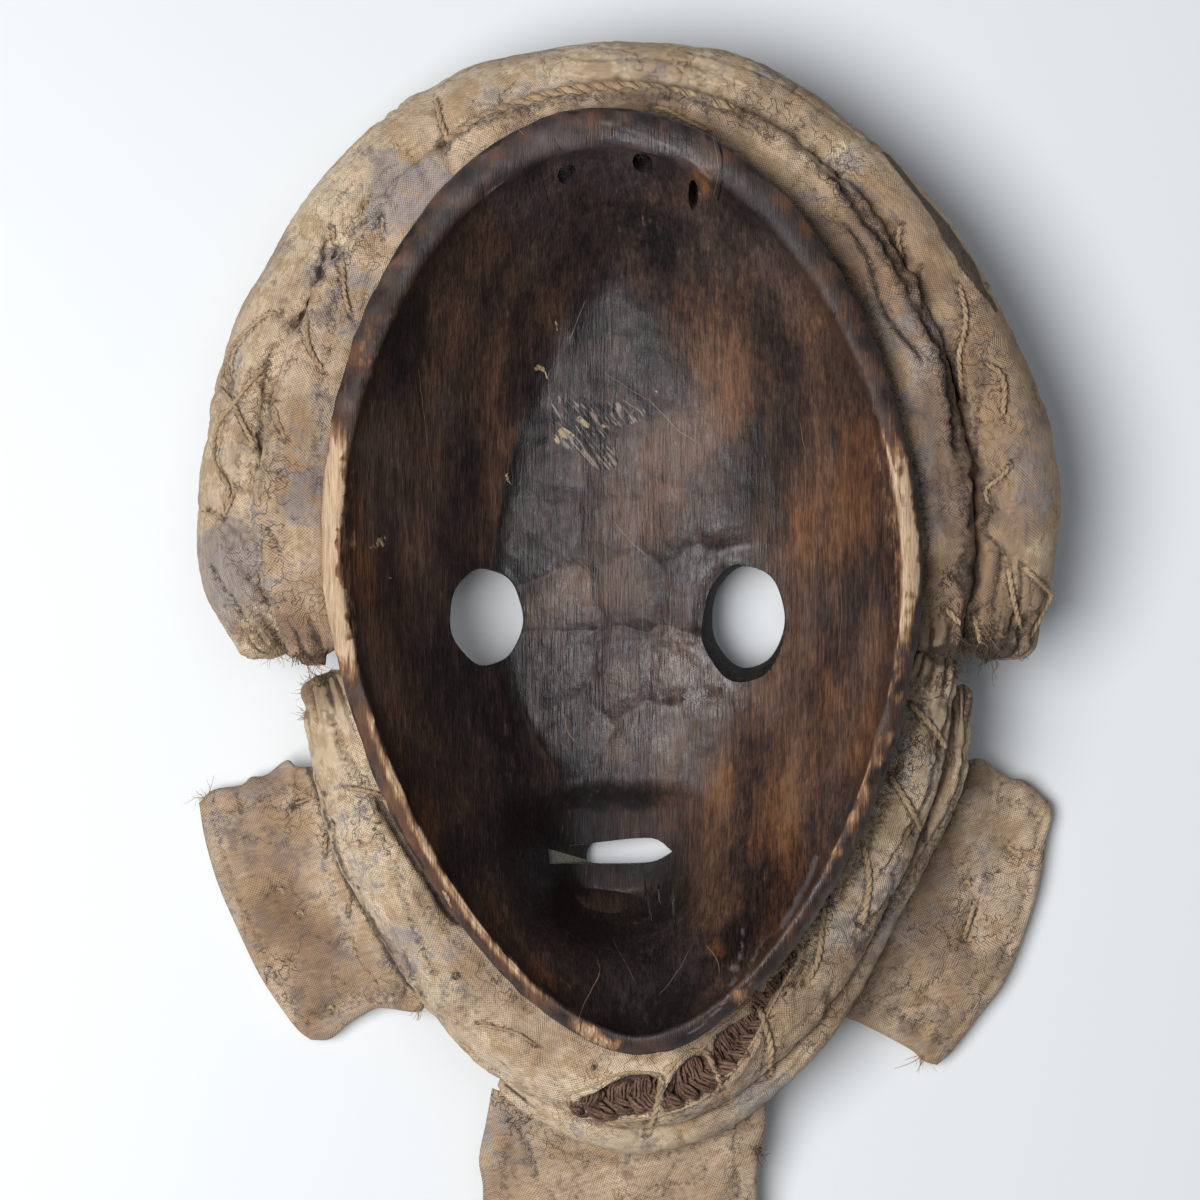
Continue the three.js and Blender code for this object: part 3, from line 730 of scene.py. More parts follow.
def light_the_table():
    area_light("key", **KEY_LIGHT)
    area_light("overhead", **OVERHEAD_LIGHT)
    world = bpy.data.worlds.new("room")
    world.use_nodes = True
    sky = world.node_tree.nodes["Background"]
    sky.inputs["Color"].default_value = SKY_COLOUR
    sky.inputs["Strength"].default_value = SKY_STRENGTH
    bpy.context.scene.world = world
    bpy.context.scene.view_settings.view_transform = "Standard"


TABLE_HALF, TABLE_DROP = 3.0, 0.0002
TABLE_COLOUR, TABLE_ROUGHNESS = (0.845, 0.875, 0.895, 1), 0.35


def lay_table():
    mesh = bpy.data.meshes.new("table_top")
    corners = [(x * TABLE_HALF, y * TABLE_HALF, 0) for x, y in ((-1, -1), (1, -1), (1, 1), (-1, 1))]
    mesh.from_pydata(corners, [], [(0, 1, 2, 3)])
    table = placed("table_top", mesh)
    table.location.z = -TABLE_DROP
    look = bpy.data.materials.new("table_white")
    look.use_nodes = True
    shader = look.node_tree.nodes["Principled BSDF"]
    shader.inputs["Base Color"].default_value = TABLE_COLOUR
    shader.inputs["Roughness"].default_value = TABLE_ROUGHNESS
    mesh.materials.append(look)


# The carved wooden shell

SCALLOP_TABLE = 64


def scallops(u, v, cell_u, cell_v, seed):
    """Height from 0 to 1 of gouge marks that meet in ridges, each mark about a cell long and wide."""
    jitter = np.random.RandomState(seed).rand(SCALLOP_TABLE, SCALLOP_TABLE, 3)
    column, line = np.floor(u / cell_u).astype(int), np.floor(v / cell_v).astype(int)
    best = np.full(u.shape, 9.0)
    for i in (-1, 0, 1):
        for j in (-1, 0, 1):
            spot = jitter[(column + i) % SCALLOP_TABLE, (line + j) % SCALLOP_TABLE]
            across = u / cell_u - (column + i + 0.15 + 0.7 * spot[..., 0])
            along = v / cell_v - (line + j + 0.15 + 0.7 * spot[..., 1])
            best = np.minimum(best, across**2 + along**2 + 0.25 * spot[..., 2])
    return np.minimum(best, 1.1)


# Middles of the adze facets on the hollow's floor, in pixels, and a facet's size in millimetres.
FLOOR_FACETS = [
    (612, 318), (610, 362), (655, 378), (568, 392), (608, 412), (676, 450), (716, 420), (547, 470),
    (612, 470), (611, 528), (547, 540), (668, 520), (722, 500), (628, 592), (560, 602), (694, 590),
    (618, 672), (676, 668), (560, 665), (712, 716), (655, 738), (580, 735), (620, 772), (746, 455),
    (524, 520),
]
FACET_SIZE = 9.5


def floor_facets(x, y):
    """Height over the adze's tilted scoops, which one a point is in, how near its edge and how low in it."""
    best, second = np.full(x.shape, 9.0), np.full(x.shape, 9.0)
    which = np.zeros(x.shape, int)
    tilt, lower = np.zeros(x.shape), np.zeros(x.shape)
    shift_x, shift_y = noise(np.stack([x, y, x], -1), 5, 13), noise(np.stack([x, y, y], -1), 5, 14)
    x, y = x + 1.2 * shift_x, y + 1.2 * shift_y
    for i, pixel in enumerate(FLOOR_FACETS):
        cx, cy, _ = under(pixel, HOLLOW["floor_height"])
        away = ((x - cx) ** 2 + (0.8 * (y - cy)) ** 2) / FACET_SIZE**2
        second = np.minimum(second, np.maximum(away, best))
        tilt = np.where(away < best, 0.05 * (y - cy) - 0.03 * (x - cx), tilt)
        lower = np.where(away < best, np.clip((cy - y) / 8 + 0.2 * (x - cx) / 8, 0, 1), lower)
        which = np.where(away < best, i, which)
        best = np.minimum(best, away)
    border = np.clip(1 - (second - best) / 0.7, 0, 1)
    return np.minimum(best, 1.2) + 0.35 * tilt * (1 - border), which, border, lower


def smooth_top(a, b, soft):
    """The higher of two heights, rounded off over a soft difference."""
    return np.maximum(a, b) + np.maximum(soft - np.abs(a - b), 0) ** 2 / (4 * soft)


POCKET_STEP_Y = -53.3
POCKET_FADE = (27, 24)


def pocket_share(x, y, soft=0.0):
    """1 in the pocket that holds the mouth slit: it starts at a step across the floor and dies away below."""
    px, py = HOLLOW["pocket_at"]
    away = np.hypot((x - px) / POCKET_FADE[0], np.minimum(y - py + 5, 0) / POCKET_FADE[1])
    step = POCKET_STEP_Y + 0.5 * noise(np.stack([x, y, x], -1), 7, 15)
    return smoothstep(step - y, -3.0 - soft, 7.0 + soft) * (1 - smoothstep(away, 0.3, 1.1))


# The right eye's whittled hole, and the height at which its ridge is measured from the same pixel.
RIGHT_EYE = dict(pixel=(741, 621), height=25, half_width=11.2, half_length=15.4, ridge_height=24)
# Gouge marks of the hollow: height, then how long and wide each is.
WALL_MARKS, PIT_MARKS = (0.9, 9.5, 26.0), (0.7, 9.0, 6.0)
FACET_HEIGHT = 1.15
EYE_RIDGE = 1.3


def hollow_relief(x, y):
    """What the carver's tools left in the hollow, as heights over its plain form."""
    angle, distance = on_spoke(x, y)
    lip, edge = rim_reach(angle) - lip_width(angle), floor_reach(angle)
    climb = np.maximum((lip - distance) / (lip - edge), 0)
    place = np.stack([x, y, np.zeros_like(x)], -1)
    bend = 2.5 * noise(place, 18, 3)
    top, low = lip_height(angle), HOLLOW["floor_height"]
    wall = top - (top - low) * climb ** HOLLOW["wall_power"]
    marks, *cell = WALL_MARKS
    marked = marks * scallops(angle * 70 + bend, distance + bend, *cell, 6)
    wall = wall + marked * smoothstep(climb, 0.02, 0.2)
    out = np.clip(distance / edge, 0, 1.3)
    floor = low - 0.5 + 3.4 * out**2.4 * smoothstep(y, -58, -30) * smoothstep(np.cos(angle), -0.9, 0.6)
    eye_x, eye_y, _ = under(RIGHT_EYE["pixel"], RIGHT_EYE["ridge_height"])
    from_eye = np.hypot((x - eye_x) / RIGHT_EYE["half_width"], (y - eye_y) / RIGHT_EYE["half_length"])
    floor = floor + EYE_RIDGE * bell(from_eye - 1.15, 0.3) * smoothstep(eye_x - x, -8, 3)
    floor = floor + FACET_HEIGHT * floor_facets(x + 0.5 * bend, y + 0.5 * bend)[0]
    right = smoothstep(np.cos(angle), -0.25, 0.45)
    shape = smooth_top(wall, floor, mix(2.4, 7.0, right))
    marks, *cell = PIT_MARKS
    pit = HOLLOW["pocket_height"] + marks * scallops(x, y, *cell, 9)
    shape = mix(shape, np.minimum(shape, pit), pocket_share(x, y))
    rough = 0.4 * fractal(place, 10, 11) + 0.12 * fractal(place, 2.6, 12, 2)
    fade = smoothstep(lip - distance, 0.0, 5.0)
    return fade * (shape - hollow_height(x, y)) + rough * mix(0.35, 1, fade)


def bore_cutter(place, half_width, half_length, lean, turn=0.0, sides=56, whittled=0.0, flare=0.0, depth=60):
    """An oval cutter along a leaning axis: a little cornered if whittled, wider upwards if flared."""
    made = bmesh.new()
    wide = 1 + flare * depth / 2
    bmesh.ops.create_cone(made, cap_ends=True, segments=sides, radius1=2 - wide, radius2=wide, depth=depth)
    shape = np.array([vert.co for vert in made.verts])
    around = np.arctan2(shape[:, 1], shape[:, 0])
    cornered = 1 + whittled * (np.cos(7 * around + 0.4) + 0.6 * np.cos(5 * around + 2.0)) * 0.6
    shape *= np.stack([half_width * cornered, half_length * cornered, np.ones(len(shape))], -1)
    spin = np.array([[math.cos(turn), -math.sin(turn), 0], [math.sin(turn), math.cos(turn), 0], [0, 0, 1]])
    tilt = Vector((0, 0, 1)).rotation_difference(Vector((*lean, 1)).normalized()).to_matrix()
    shape = shape @ spin.T @ np.array(tilt).T + place
    for vert, point in zip(made.verts, shape):
        vert.co = row(point)
    return cutter_object(made)


def cutter_object(made):
    bmesh.ops.triangulate(made, faces=made.faces)
    bmesh.ops.recalc_face_normals(made, faces=made.faces)
    mesh = bpy.data.meshes.new("cutter")
    made.to_mesh(mesh)
    made.free()
    return placed("cutter", mesh)


def prism_cutter(outline, low, high, below=None):
    """A cutter over a flat outline, upright or, with another outline below, leaning."""
    made = bmesh.new()
    floor = [made.verts.new(row([x, y, low])) for x, y in (outline if below is None else below)]
    lid = [made.verts.new(row([x, y, high])) for x, y in outline]
    made.faces.new(floor)
    made.faces.new(lid)
    for i in range(len(floor)):
        after = (i + 1) % len(floor)
        made.faces.new([floor[i], floor[after], lid[after], lid[i]])
    return cutter_object(made)


def mouth_cutters():
    """The mouth slit, and the slope at its left end."""
    left, right, half, slope = -13.6, 13.6, 3.2, 6.4
    lower = smooth_line([(left, -half * 0.9), (-4, -half * 1.05), (5, -half), (right - 4, -half * 0.75),
                         (right, 0)], 18)
    upper = smooth_line([(right, 0), (right - 4, half), (4, half * 1.1), (-5, half * 0.8),
                         (left, half * 0.5)], 18)
    outline = np.vstack([lower, upper[1:]]) + (-0.5, FACE["mouth_y"] - 0.5)
    inner, outer = outline.copy(), outline.copy()
    inner[:, 0] = np.maximum(inner[:, 0], left - 0.5 + slope)
    outer[:, 0] -= slope * smoothstep(outer[:, 0], left + slope, left)
    return [prism_cutter(inner, -10, 30), prism_cutter(outer, 3, 21, inner)]


def slit_cutter(path, half_width, height, depth):
    """A thin wedge along a path of pixels, as deep as the surface at a height plus a depth."""
    line = smooth_line(under(path, height)[:, :2], 9)
    run = unit(np.gradient(line, axis=0))
    side = np.stack([-run[:, 1], run[:, 0]], -1) * half_width
    blunt = 0.12
    side *= np.sin(np.linspace(blunt, math.pi - blunt, len(line)))[:, None]
    outline = np.vstack([line + side, (line - side)[::-1]])
    return prism_cutter(outline, height - depth, height + 40)


EYE_HOLES = [
    dict(place=under((485, 617), 18), half_width=10.1, half_length=12.5, lean=(0.1, 0.02), whittled=0.022),
    dict(place=under((748, 617), 14), half_width=9.3, half_length=13.1, lean=(0, 0), whittled=0.015),
    dict(
        place=under(RIGHT_EYE["pixel"], RIGHT_EYE["height"]), half_width=RIGHT_EYE["half_width"],
        half_length=RIGHT_EYE["half_length"], lean=(-0.2, -0.1), whittled=0.02, flare=0.02, depth=20,
    ),
]
CROWN_HOLES = [
    dict(place=(-14.3, 104.0, 52), half_width=2.4, half_length=3.5, lean=(0.1, -0.55)),
    dict(place=(4.9, 107.5, 54), half_width=2.5, half_length=3.8, lean=(0, -0.55)),
    dict(place=(18.6, 100, 50), half_width=1.3, half_length=5.4, lean=(-0.2, -0.6), turn=-0.12),
]
# Saw cuts under the mouth: the path in pixels, the half width, the floor's height and the depth.
SAW_CUTS = [
    (((645, 880), (648, 900), (652, 921)), 0.45, 14.0, 2.2),
    (((672, 878), (673, 900), (674, 925)), 0.4, 14.0, 2.2),
    (((658, 884), (659, 896), (660, 905)), 0.25, 14.0, 1.4),
]


def shell_rings():
    angle = np.arange(SPOKES) / SPOKES * 2 * math.pi
    rim, lip = rim_reach(angle), lip_width(angle)
    hollow, over, outside = [], [], []
    for i in range(INNER_RINGS):
        x, y = shell_point(angle, rim - lip, (i + 1) / INNER_RINGS, INNER_SLIDE)
        hollow.append(np.stack([x, y, hollow_height(x, y)], -1))
    for i in range(LIP_RINGS):
        turn = (i + 1) / (LIP_RINGS + 1) * math.pi
        out = (1 - math.cos(turn)) / 2
        x, y = shell_point(angle, rim - lip * (1 - out))
        z = mix(lip_height(angle), RIM["side_height"] + 3, out) + RIM["lip_rise"] * math.sin(turn)
        over.append(np.stack([x, y, z], -1))
    for i in range(OUTER_RINGS):
        share = math.cos(i / OUTER_RINGS * math.pi / 2) ** 0.75
        x, y = shell_point(angle, rim, share, OUTER_SLIDE)
        outside.append(np.stack([x, y, face_height(x, y)], -1))
    return np.array(hollow), np.array(over), np.array(outside)


def roughen_lip_and_face(rings, lip, out):
    """How far to push the lip's and the outer face's points out of their plain form."""
    push = np.zeros(rings.shape[:2])
    push[lip] = 0.55 * fractal(rings[lip], 9, 21) - 0.5 * smoothstep(noise(rings[lip], 4.5, 25), 0.2, 0.8)
    off_table = smoothstep(rings[out, :, 2], 0.4, 3.0)
    marks = scallops(rings[out, :, 0], rings[out, :, 1], 6.0, 9.0, 8)
    push[out] = off_table * (0.18 * fractal(rings[out], 7, 31) - 0.22 * marks)
    return push


def carve_shell():
    """The carved shell, and its uncut form for the cloth to lie against."""
    hollow, over, outside = shell_rings()
    rings = np.concatenate([hollow, over, outside])
    normal = grid_normals(rings)
    if normal[10, 0, 2] < 0:
        normal = -normal
    inside = slice(0, INNER_RINGS)
    lip = slice(INNER_RINGS, INNER_RINGS + LIP_RINGS)
    push = roughen_lip_and_face(rings, lip, slice(INNER_RINGS + LIP_RINGS, None))
    relief = hollow_relief(rings[inside, :, 0], rings[inside, :, 1])
    rings = rings + push[..., None] * normal
    rings[inside, :, 2] += relief
    rings[..., 2] = np.maximum(rings[..., 2], 0.0)
    middle_in = np.array([*shell_point(0, 0, 0, INNER_SLIDE), rings[0, :, 2].mean()])
    middle_out = np.array([*shell_point(0, 0, 0, OUTER_SLIDE), rings[-1, :, 2].mean()])
    shell = closed_rings("face_shell_carved", middle_in, rings, middle_out)
    cutters = [bore_cutter(**hole) for hole in EYE_HOLES] + mouth_cutters()
    cutters += [bore_cutter(**hole, sides=28) for hole in CROWN_HOLES]
    cutters += [slit_cutter(*slit) for slit in SAW_CUTS]
    cut(shell, cutters)
    shell.data.set_sharp_from_angle(angle=math.radians(50))
    paint_shell(shell)
    mark_bores(shell)
    return shell, ring_surface(rings)


def ring_surface(rings):
    """What rays hit of a closed form of rings."""
    return BVHTree.FromPolygons(rings.reshape(-1, 3).tolist(), ring_faces(*rings.shape[:2]).tolist())


def mark_bores(shell):
    """Gives the eyes' and mouth's cut walls, which lie on neither face of the shell, the second material."""
    count = len(shell.data.polygons)
    middle = np.empty(count * 3, np.float32)
    shell.data.polygons.foreach_get("center", middle)
    x, y, z = mask(middle.reshape(-1, 3).astype(float)).T
    angle, distance = on_spoke(x, y)
    inner = hollow_height(x, y) + hollow_relief(x, y)
    cut_wall = (np.abs(z - inner) > 1.0) & (np.abs(z - face_height(x, y)) > 1.0)
    cut_wall &= distance < 0.72 * rim_reach(angle)
    shell.data.polygons.foreach_set("material_index", cut_wall.astype(np.int32))


# Tones of the wood in the picture: pixel, two radii in pixels and strength.
DARK_WOOD = [
    (430, 470, 80, 260, 0.16), (385, 330, 60, 120, 0.25), (470, 700, 90, 150, 0.5), (520, 860, 90, 120, 0.6),
    (500, 240, 90, 80, 0.4), (600, 240, 120, 40, 0.3), (520, 830, 50, 60, 0.8), (640, 970, 110, 90, 0.5),
    (530, 400, 22, 140, 0.6), (760, 180, 50, 60, 0.4), (735, 640, 30, 50, 0.3), (772, 430, 26, 110, 0.3),
    (610, 350, 60, 60, 0.35), (630, 866, 60, 18, 0.5), (620, 795, 60, 8, 0.3),
]
BROWN_WOOD = [
    (676, 452, 45, 42, 0.8), (612, 530, 45, 38, 0.6), (716, 418, 34, 40, 0.7), (630, 592, 50, 40, 0.5),
    (612, 470, 45, 30, 0.6), (700, 660, 40, 40, 0.2), (690, 780, 60, 40, 0.5), (560, 200, 70, 40, 0.15),
    (640, 400, 40, 22, 0.5), (585, 330, 40, 30, 0.35), (566, 545, 30, 50, 0.5), (655, 500, 30, 60, 0.5),
    (550, 620, 24, 40, 0.4), (600, 740, 40, 24, 0.4), (650, 350, 34, 40, 0.4), (665, 620, 26, 20, 0.4),
    (630, 822, 50, 24, 0.7), (400, 440, 30, 90, 0.3),
]
ORANGE_WOOD = [
    (850, 520, 44, 150, 0.42), (800, 330, 60, 90, 0.2), (855, 660, 36, 110, 0.5), (800, 800, 50, 90, 0.4),
    (425, 760, 40, 110, 0.4), (716, 958, 12, 14, 1.3), (390, 540, 25, 60, 0.25), (480, 900, 30, 60, 0.4),
    (705, 178, 9, 17, 2.2), (640, 185, 16, 30, 0.5), (420, 300, 24, 60, 0.3), (700, 330, 40, 60, 0.2),
]
# Sooty places; on the crown's upper wall this grey is a painted sheen.
SOOTY_AND_SHEEN_WOOD = [
    (620, 150, 100, 50, 1.0), (530, 185, 50, 60, 0.8), (700, 240, 70, 60, 0.5), (380, 480, 30, 80, 0.5),
    (770, 250, 40, 50, 0.6), (640, 960, 60, 70, 0.6),
]
# Places of the crown's upper wall painted lighter, as a sheen.
CROWN_SHEEN_SPOTS = [(640, 145, 90, 34, 1.0), (560, 150, 40, 30, 0.8), (720, 190, 40, 40, 0.7)]
# Glossy places, which on the floor are also painted lighter, as a highlight.
GLOSSY_AND_HIGHLIT_WOOD = [
    (690, 676, 56, 50, 1.0), (640, 700, 60, 60, 0.6), (712, 560, 30, 50, 0.6), (560, 640, 40, 90, 0.4),
    (790, 890, 60, 60, 0.8), (745, 950, 30, 40, 0.9), (670, 150, 90, 40, 0.8), (560, 930, 40, 90, 0.3),
]
# Painted highlights along the wood's ridges and edges: half width in millimetres, strength and path in
# pixels.
PAINTED_HIGHLIGHTS = [
    (0.9, 0.7, ((596, 122), (627, 129), (669, 147), (697, 164), (714, 186))),
    (0.9, 0.4, ((560, 126), (600, 121), (640, 122))),
    (0.4, 0.9, ((732, 962), (731, 985), (724, 1003), (706, 1021), (684, 1038))),
    (1.1, 0.35, ((628, 292), (598, 307), (577, 327), (562, 348), (547, 378), (535, 412), (523, 460),
                 (511, 520))),
    (1.3, 0.7, ((716, 556), (732, 549), (752, 546))),
    (1.1, 0.6, ((676, 642), (695, 652), (715, 668), (730, 684), (738, 694))),
    (1.2, 0.7, ((818, 852), (808, 880), (794, 907), (780, 932))),
    (0.7, 0.7, ((743, 925), (742, 945), (738, 968), (735, 985))),
    (0.8, 0.6, ((765, 938), (752, 962), (744, 985))),
    (0.9, 0.5, ((697, 560), (688, 590), (690, 625))),
    (2.2, 0.45, ((650, 640), (672, 660), (690, 690), (700, 706))),
    (0.8, 0.45, ((600, 668), (640, 676), (668, 690))),
    (0.9, 0.45, ((850, 800), (835, 830), (822, 852))),
    (1.2, 0.4, ((555, 640), (560, 670), (552, 700))),
]
# Hatched, chipped and warm places of the wood, like its tones.
HATCHED_WOOD = [
    (584, 427, 28, 34, 1.0), (618, 414, 32, 13, 0.9), (562, 412, 16, 20, 0.8), (604, 457, 18, 16, 0.8),
]
CHIPPED_WOOD = [
    (584, 425, 9, 9, 0.6), (569, 441, 9, 10, 0.6), (604, 428, 9, 5, 0.6), (632, 411, 14, 6, 0.5),
    (566, 397, 8, 4, 0.4), (375, 549, 9, 10, 0.65), (394, 582, 10, 4, 0.5), (557, 333, 2, 6, 0.62),
    (541, 376, 2, 5, 0.6), (516, 470, 2, 6, 0.64), (651, 397, 6, 2, 0.6), (549, 355, 2, 4, 0.55),
]
ORANGE_LIP = [
    (590, 1048, 34, 14, 1.0), (650, 1062, 30, 8, 0.6), (365, 700, 14, 26, 0.7), (336, 640, 12, 40, 0.5),
    (400, 830, 30, 40, 0.5), (440, 895, 26, 26, 0.5), (410, 275, 20, 50, 0.5), (880, 745, 16, 40, 0.4),
]


def thin_lines(where, lines):
    """Distance to either side of the nearest thin line, in its widths, and how strong the line is."""
    offset, strength = np.full(len(where), 9.0), np.zeros(len(where))
    nearest = np.full(len(where), 99.0)
    for width, share, path in lines:
        near, away, along, side = marks_near(where, path, 3)
        if not len(near):
            continue
        closer = away < nearest[near]
        at, away, along, side = near[closer], away[closer], along[closer], side[closer]
        nearest[at] = away
        offset[at] = side * away / (0.62 * width)
        from_end = np.minimum(along, 1 - along)
        strength[at] = share * (1 - smoothstep(away, 1.2, 2.4)) * smoothstep(from_end, 0, 0.04)
    return offset, strength


# Stretches of the lip by their wear: from and to in degrees round the rim, and how soft their ends are.
WEAR_ZONES = dict(
    left=(146, 217, 32), right=(330, 400, 34), left_tail=(205, 262, 12), right_tail=(288, 352, 16),
    low=(252, 290, 10), upper_left=(122, 165, 20), upper_right=(380, 425, 20),
)


class ShellPlaces:
    """Where the points of the shell lie: round its rim, across its lip, in its hollow and in the picture."""

    def __init__(self, points):
        self.points = points
        self.x, self.y, self.z = points.T
        self.where = picture(points)
        self.angle, self.distance = on_spoke(self.x, self.y)
        self.lip = rim_reach(self.angle) - lip_width(self.angle)
        self.edge = floor_reach(self.angle)
        self.across = (self.distance - self.lip) / lip_width(self.angle)
        self.on_lip = smoothstep(self.across, -0.05, 0.4)
        from_hollow = np.abs(self.z - hollow_height(self.x, self.y))
        self.inner = from_hollow < np.abs(self.z - face_height(self.x, self.y))
        self.pocket = pocket_share(self.x, self.y, 0.6) * self.inner
        self.leftness = smoothstep(-np.cos(self.angle), -0.1, 0.5)
        self.chips = noise(points, 3.6, 42) + 0.6 * noise(points, 1.6, 46)
        self.wobble = 7 * noise(points, 16, 41)
        shaken = self.where + 14 * noises(points, 9, (47, 48))
        self.shaken = shaken + 7 * noises(points, 3, (49, 50))
        self.brown, self.orange = stain(self.shaken, BROWN_WOOD), stain(self.shaken, ORANGE_WOOD)
        self.dark = stain(self.shaken, DARK_WOOD)
        self.floor = self.floor_share()

    def floor_share(self):
        climb = np.clip((self.lip - self.distance) / (self.lip - self.edge), 0, 1)
        drift = 0.12 * noise(self.points, 12, 44)
        soft, crisp = smoothstep(climb + drift, 0.8, 1.02), smoothstep(climb + 0.1 * drift, 0.965, 1.0)
        return mix(soft, crisp, self.leftness)

    def zone(self, name):
        low, high, soft = WEAR_ZONES[name]
        degrees = np.degrees(self.angle) % 360
        from_low = (degrees + self.wobble - low + 180) % 360 - 180
        from_high = (high - degrees - self.wobble + 180) % 360 - 180
        return smoothstep(from_low, 0, soft) * smoothstep(from_high, 0, soft)


def wood_bare(at):
    """Where the lip is worn to pale wood: broad at the left and right, thinner above and below."""
    points, across, chips = at.points, at.across, at.chips
    left, right, low = at.zone("left"), at.zone("right"), at.zone("low")
    left_tail, right_tail = at.zone("left_tail"), at.zone("right_tail")
    upper = at.zone("upper_left") + 0.7 * at.zone("upper_right")
    worn_left = smoothstep(across + 0.28 * chips, -0.1, 0.35) * (1 - smoothstep(across, 0.95, 1.15))
    rough = across + 0.12 * chips
    worn_right = smoothstep(rough, 0.0, 0.2) * (1 - smoothstep(rough, 0.6, 0.95))
    speckled = 0.62 + 0.3 * noise(points, 2.2, 55)
    rough = across + 0.15 * chips
    on_top = smoothstep(rough, 0.0, 0.2) * (1 - smoothstep(rough, 0.75, 1.05))
    edge_line = bell(across - 0.08, 0.1)
    return np.max([
        left * worn_left,
        right * np.maximum(speckled * worn_right, 0.9 * edge_line),
        0.36 * low * worn_left * smoothstep(noise(points, 7, 45), -0.3, 0.5),
        0.46 * left_tail * (edge_line + 0.35 * worn_left) * smoothstep(chips, -0.5, 0.3),
        0.45 * left_tail * bell(across - 0.28, 0.27) * (0.85 + 0.2 * chips),
        right_tail * on_top * (0.2 + 0.22 * noise(points, 3.2, 64)),
        0.42 * right_tail * bell(across - 0.12, 0.07) * smoothstep(chips, -0.6, 0.2),
        0.26 * upper * worn_left * smoothstep(chips, -0.5, 0.4),
        0.3 * (left + right) * smoothstep(across + 0.3 * chips, -0.7, -0.05) * (across < 0.2),
    ], axis=0)


def wood_grime_and_shade(at):
    """Grime and painted shade along the floor's left crease and down the lip's outer side."""
    grime_and_shade = 0.85 * bell(at.distance - at.edge - 0.4, 1.1 + 0.5 * noise(at.points, 5, 56)) * at.leftness
    outer = smoothstep(at.across + 0.2 * at.chips, 0.8, 1.05) * (1 - 0.7 * at.zone("left"))
    return np.maximum(np.where(at.inner, grime_and_shade, 0), 0.75 * outer * smoothstep(at.z, 50, 56))


def wood_grey(at, facet_brown):
    """How sooty the wood is: most on the floor, less on its browner facets, and on the crown's lip; part of
    the grey on the crown's upper wall is a painted sheen.
    """
    grey = np.max([
        0.85 * at.floor * (1 - 0.9 * at.pocket),
        0.4 * smoothstep(noise(at.points * (1, 0.5, 1), 14, 51), 0.1, 0.6),
        stain(at.shaken, SOOTY_AND_SHEEN_WOOD),
        0.35 * at.on_lip * smoothstep(fractal(at.points, 9, 60), -0.1, 0.5),
        0.85 * at.on_lip * smoothstep(np.sin(at.angle), 0.75, 0.95),
    ], axis=0)
    grey = grey * (1 - np.clip(0.8 * at.brown + facet_brown, 0, 1))
    return np.clip(grey, 0, 1) * np.where(at.across > 0, 1, at.inner)


def wood_tone(at, facet_tone, border, lower):
    """How light the wood is, with its facets' own tones, painted shade on their lower sides, and grime and
    painted shade in their borders.
    """
    # Painted shade: each facet is darker on its lower side and in its border, where grime lies too.
    dirt_and_shade = 0.1 * border**4 * smoothstep(noise(at.points, 7, 52), 0.0, 0.6)
    ridges = at.floor * (facet_tone - 0.1 * lower**2 - dirt_and_shade)
    tone = 0.47 + 0.24 * fractal(at.points * (1, 0.4, 0.8), 11, 43, 4) - 0.45 * at.dark
    tone = tone - 0.14 * at.pocket - 0.1 * smoothstep(-at.y, 48, 62) * bell(at.x + 2, 24)
    # Painted highlights: the glossy floor and the crown's upper wall are painted lighter.
    tone = tone + 0.09 * at.floor * stain(at.shaken, GLOSSY_AND_HIGHLIT_WOOD) + 0.13 * stain(at.shaken, CROWN_SHEEN_SPOTS)
    tone = tone + 0.16 * at.brown + 0.1 * at.orange + ridges * (1 - at.pocket) - 0.05 * at.floor
    crown = smoothstep(np.sin(at.angle), 0.8, 0.95)
    lip_tone = 0.36 + 0.2 * fractal(at.points, 5, 53) + 0.06 * crown + 0.1 * at.zone("left_tail")
    return mix(tone, lip_tone, at.on_lip)


def wood_warmth(at):
    """How orange the wood is: on the right wall, beside the worn lip and in stains."""
    points, left_tail = at.points, at.zone("left_tail")
    patches = 0.26 * fractal(points * (1, 0.5, 0.8), 10, 54, 3) * (1 - 0.7 * at.floor)
    rightness = smoothstep(at.x, -8, 45) * (1 - at.floor)
    warm = 0.15 * rightness + patches
    warm = warm + 0.34 * at.orange + 0.24 * at.brown - 0.25 * at.dark - 0.15 * at.pocket
    beside_lip = (at.zone("left") + left_tail) * bell(at.across + 0.7, 0.9) * (at.across < 0.1)
    warm = warm + 0.42 * beside_lip * (0.8 + 0.5 * fractal(points, 6, 65))
    lip_warm = 0.16 + 0.4 * fractal(points, 6, 61, 3) + 0.5 * stain(at.shaken, ORANGE_LIP) + 0.3 * left_tail
    return np.clip(mix(warm * at.inner, lip_warm * (at.across > 0), at.on_lip), -0.2, 1)


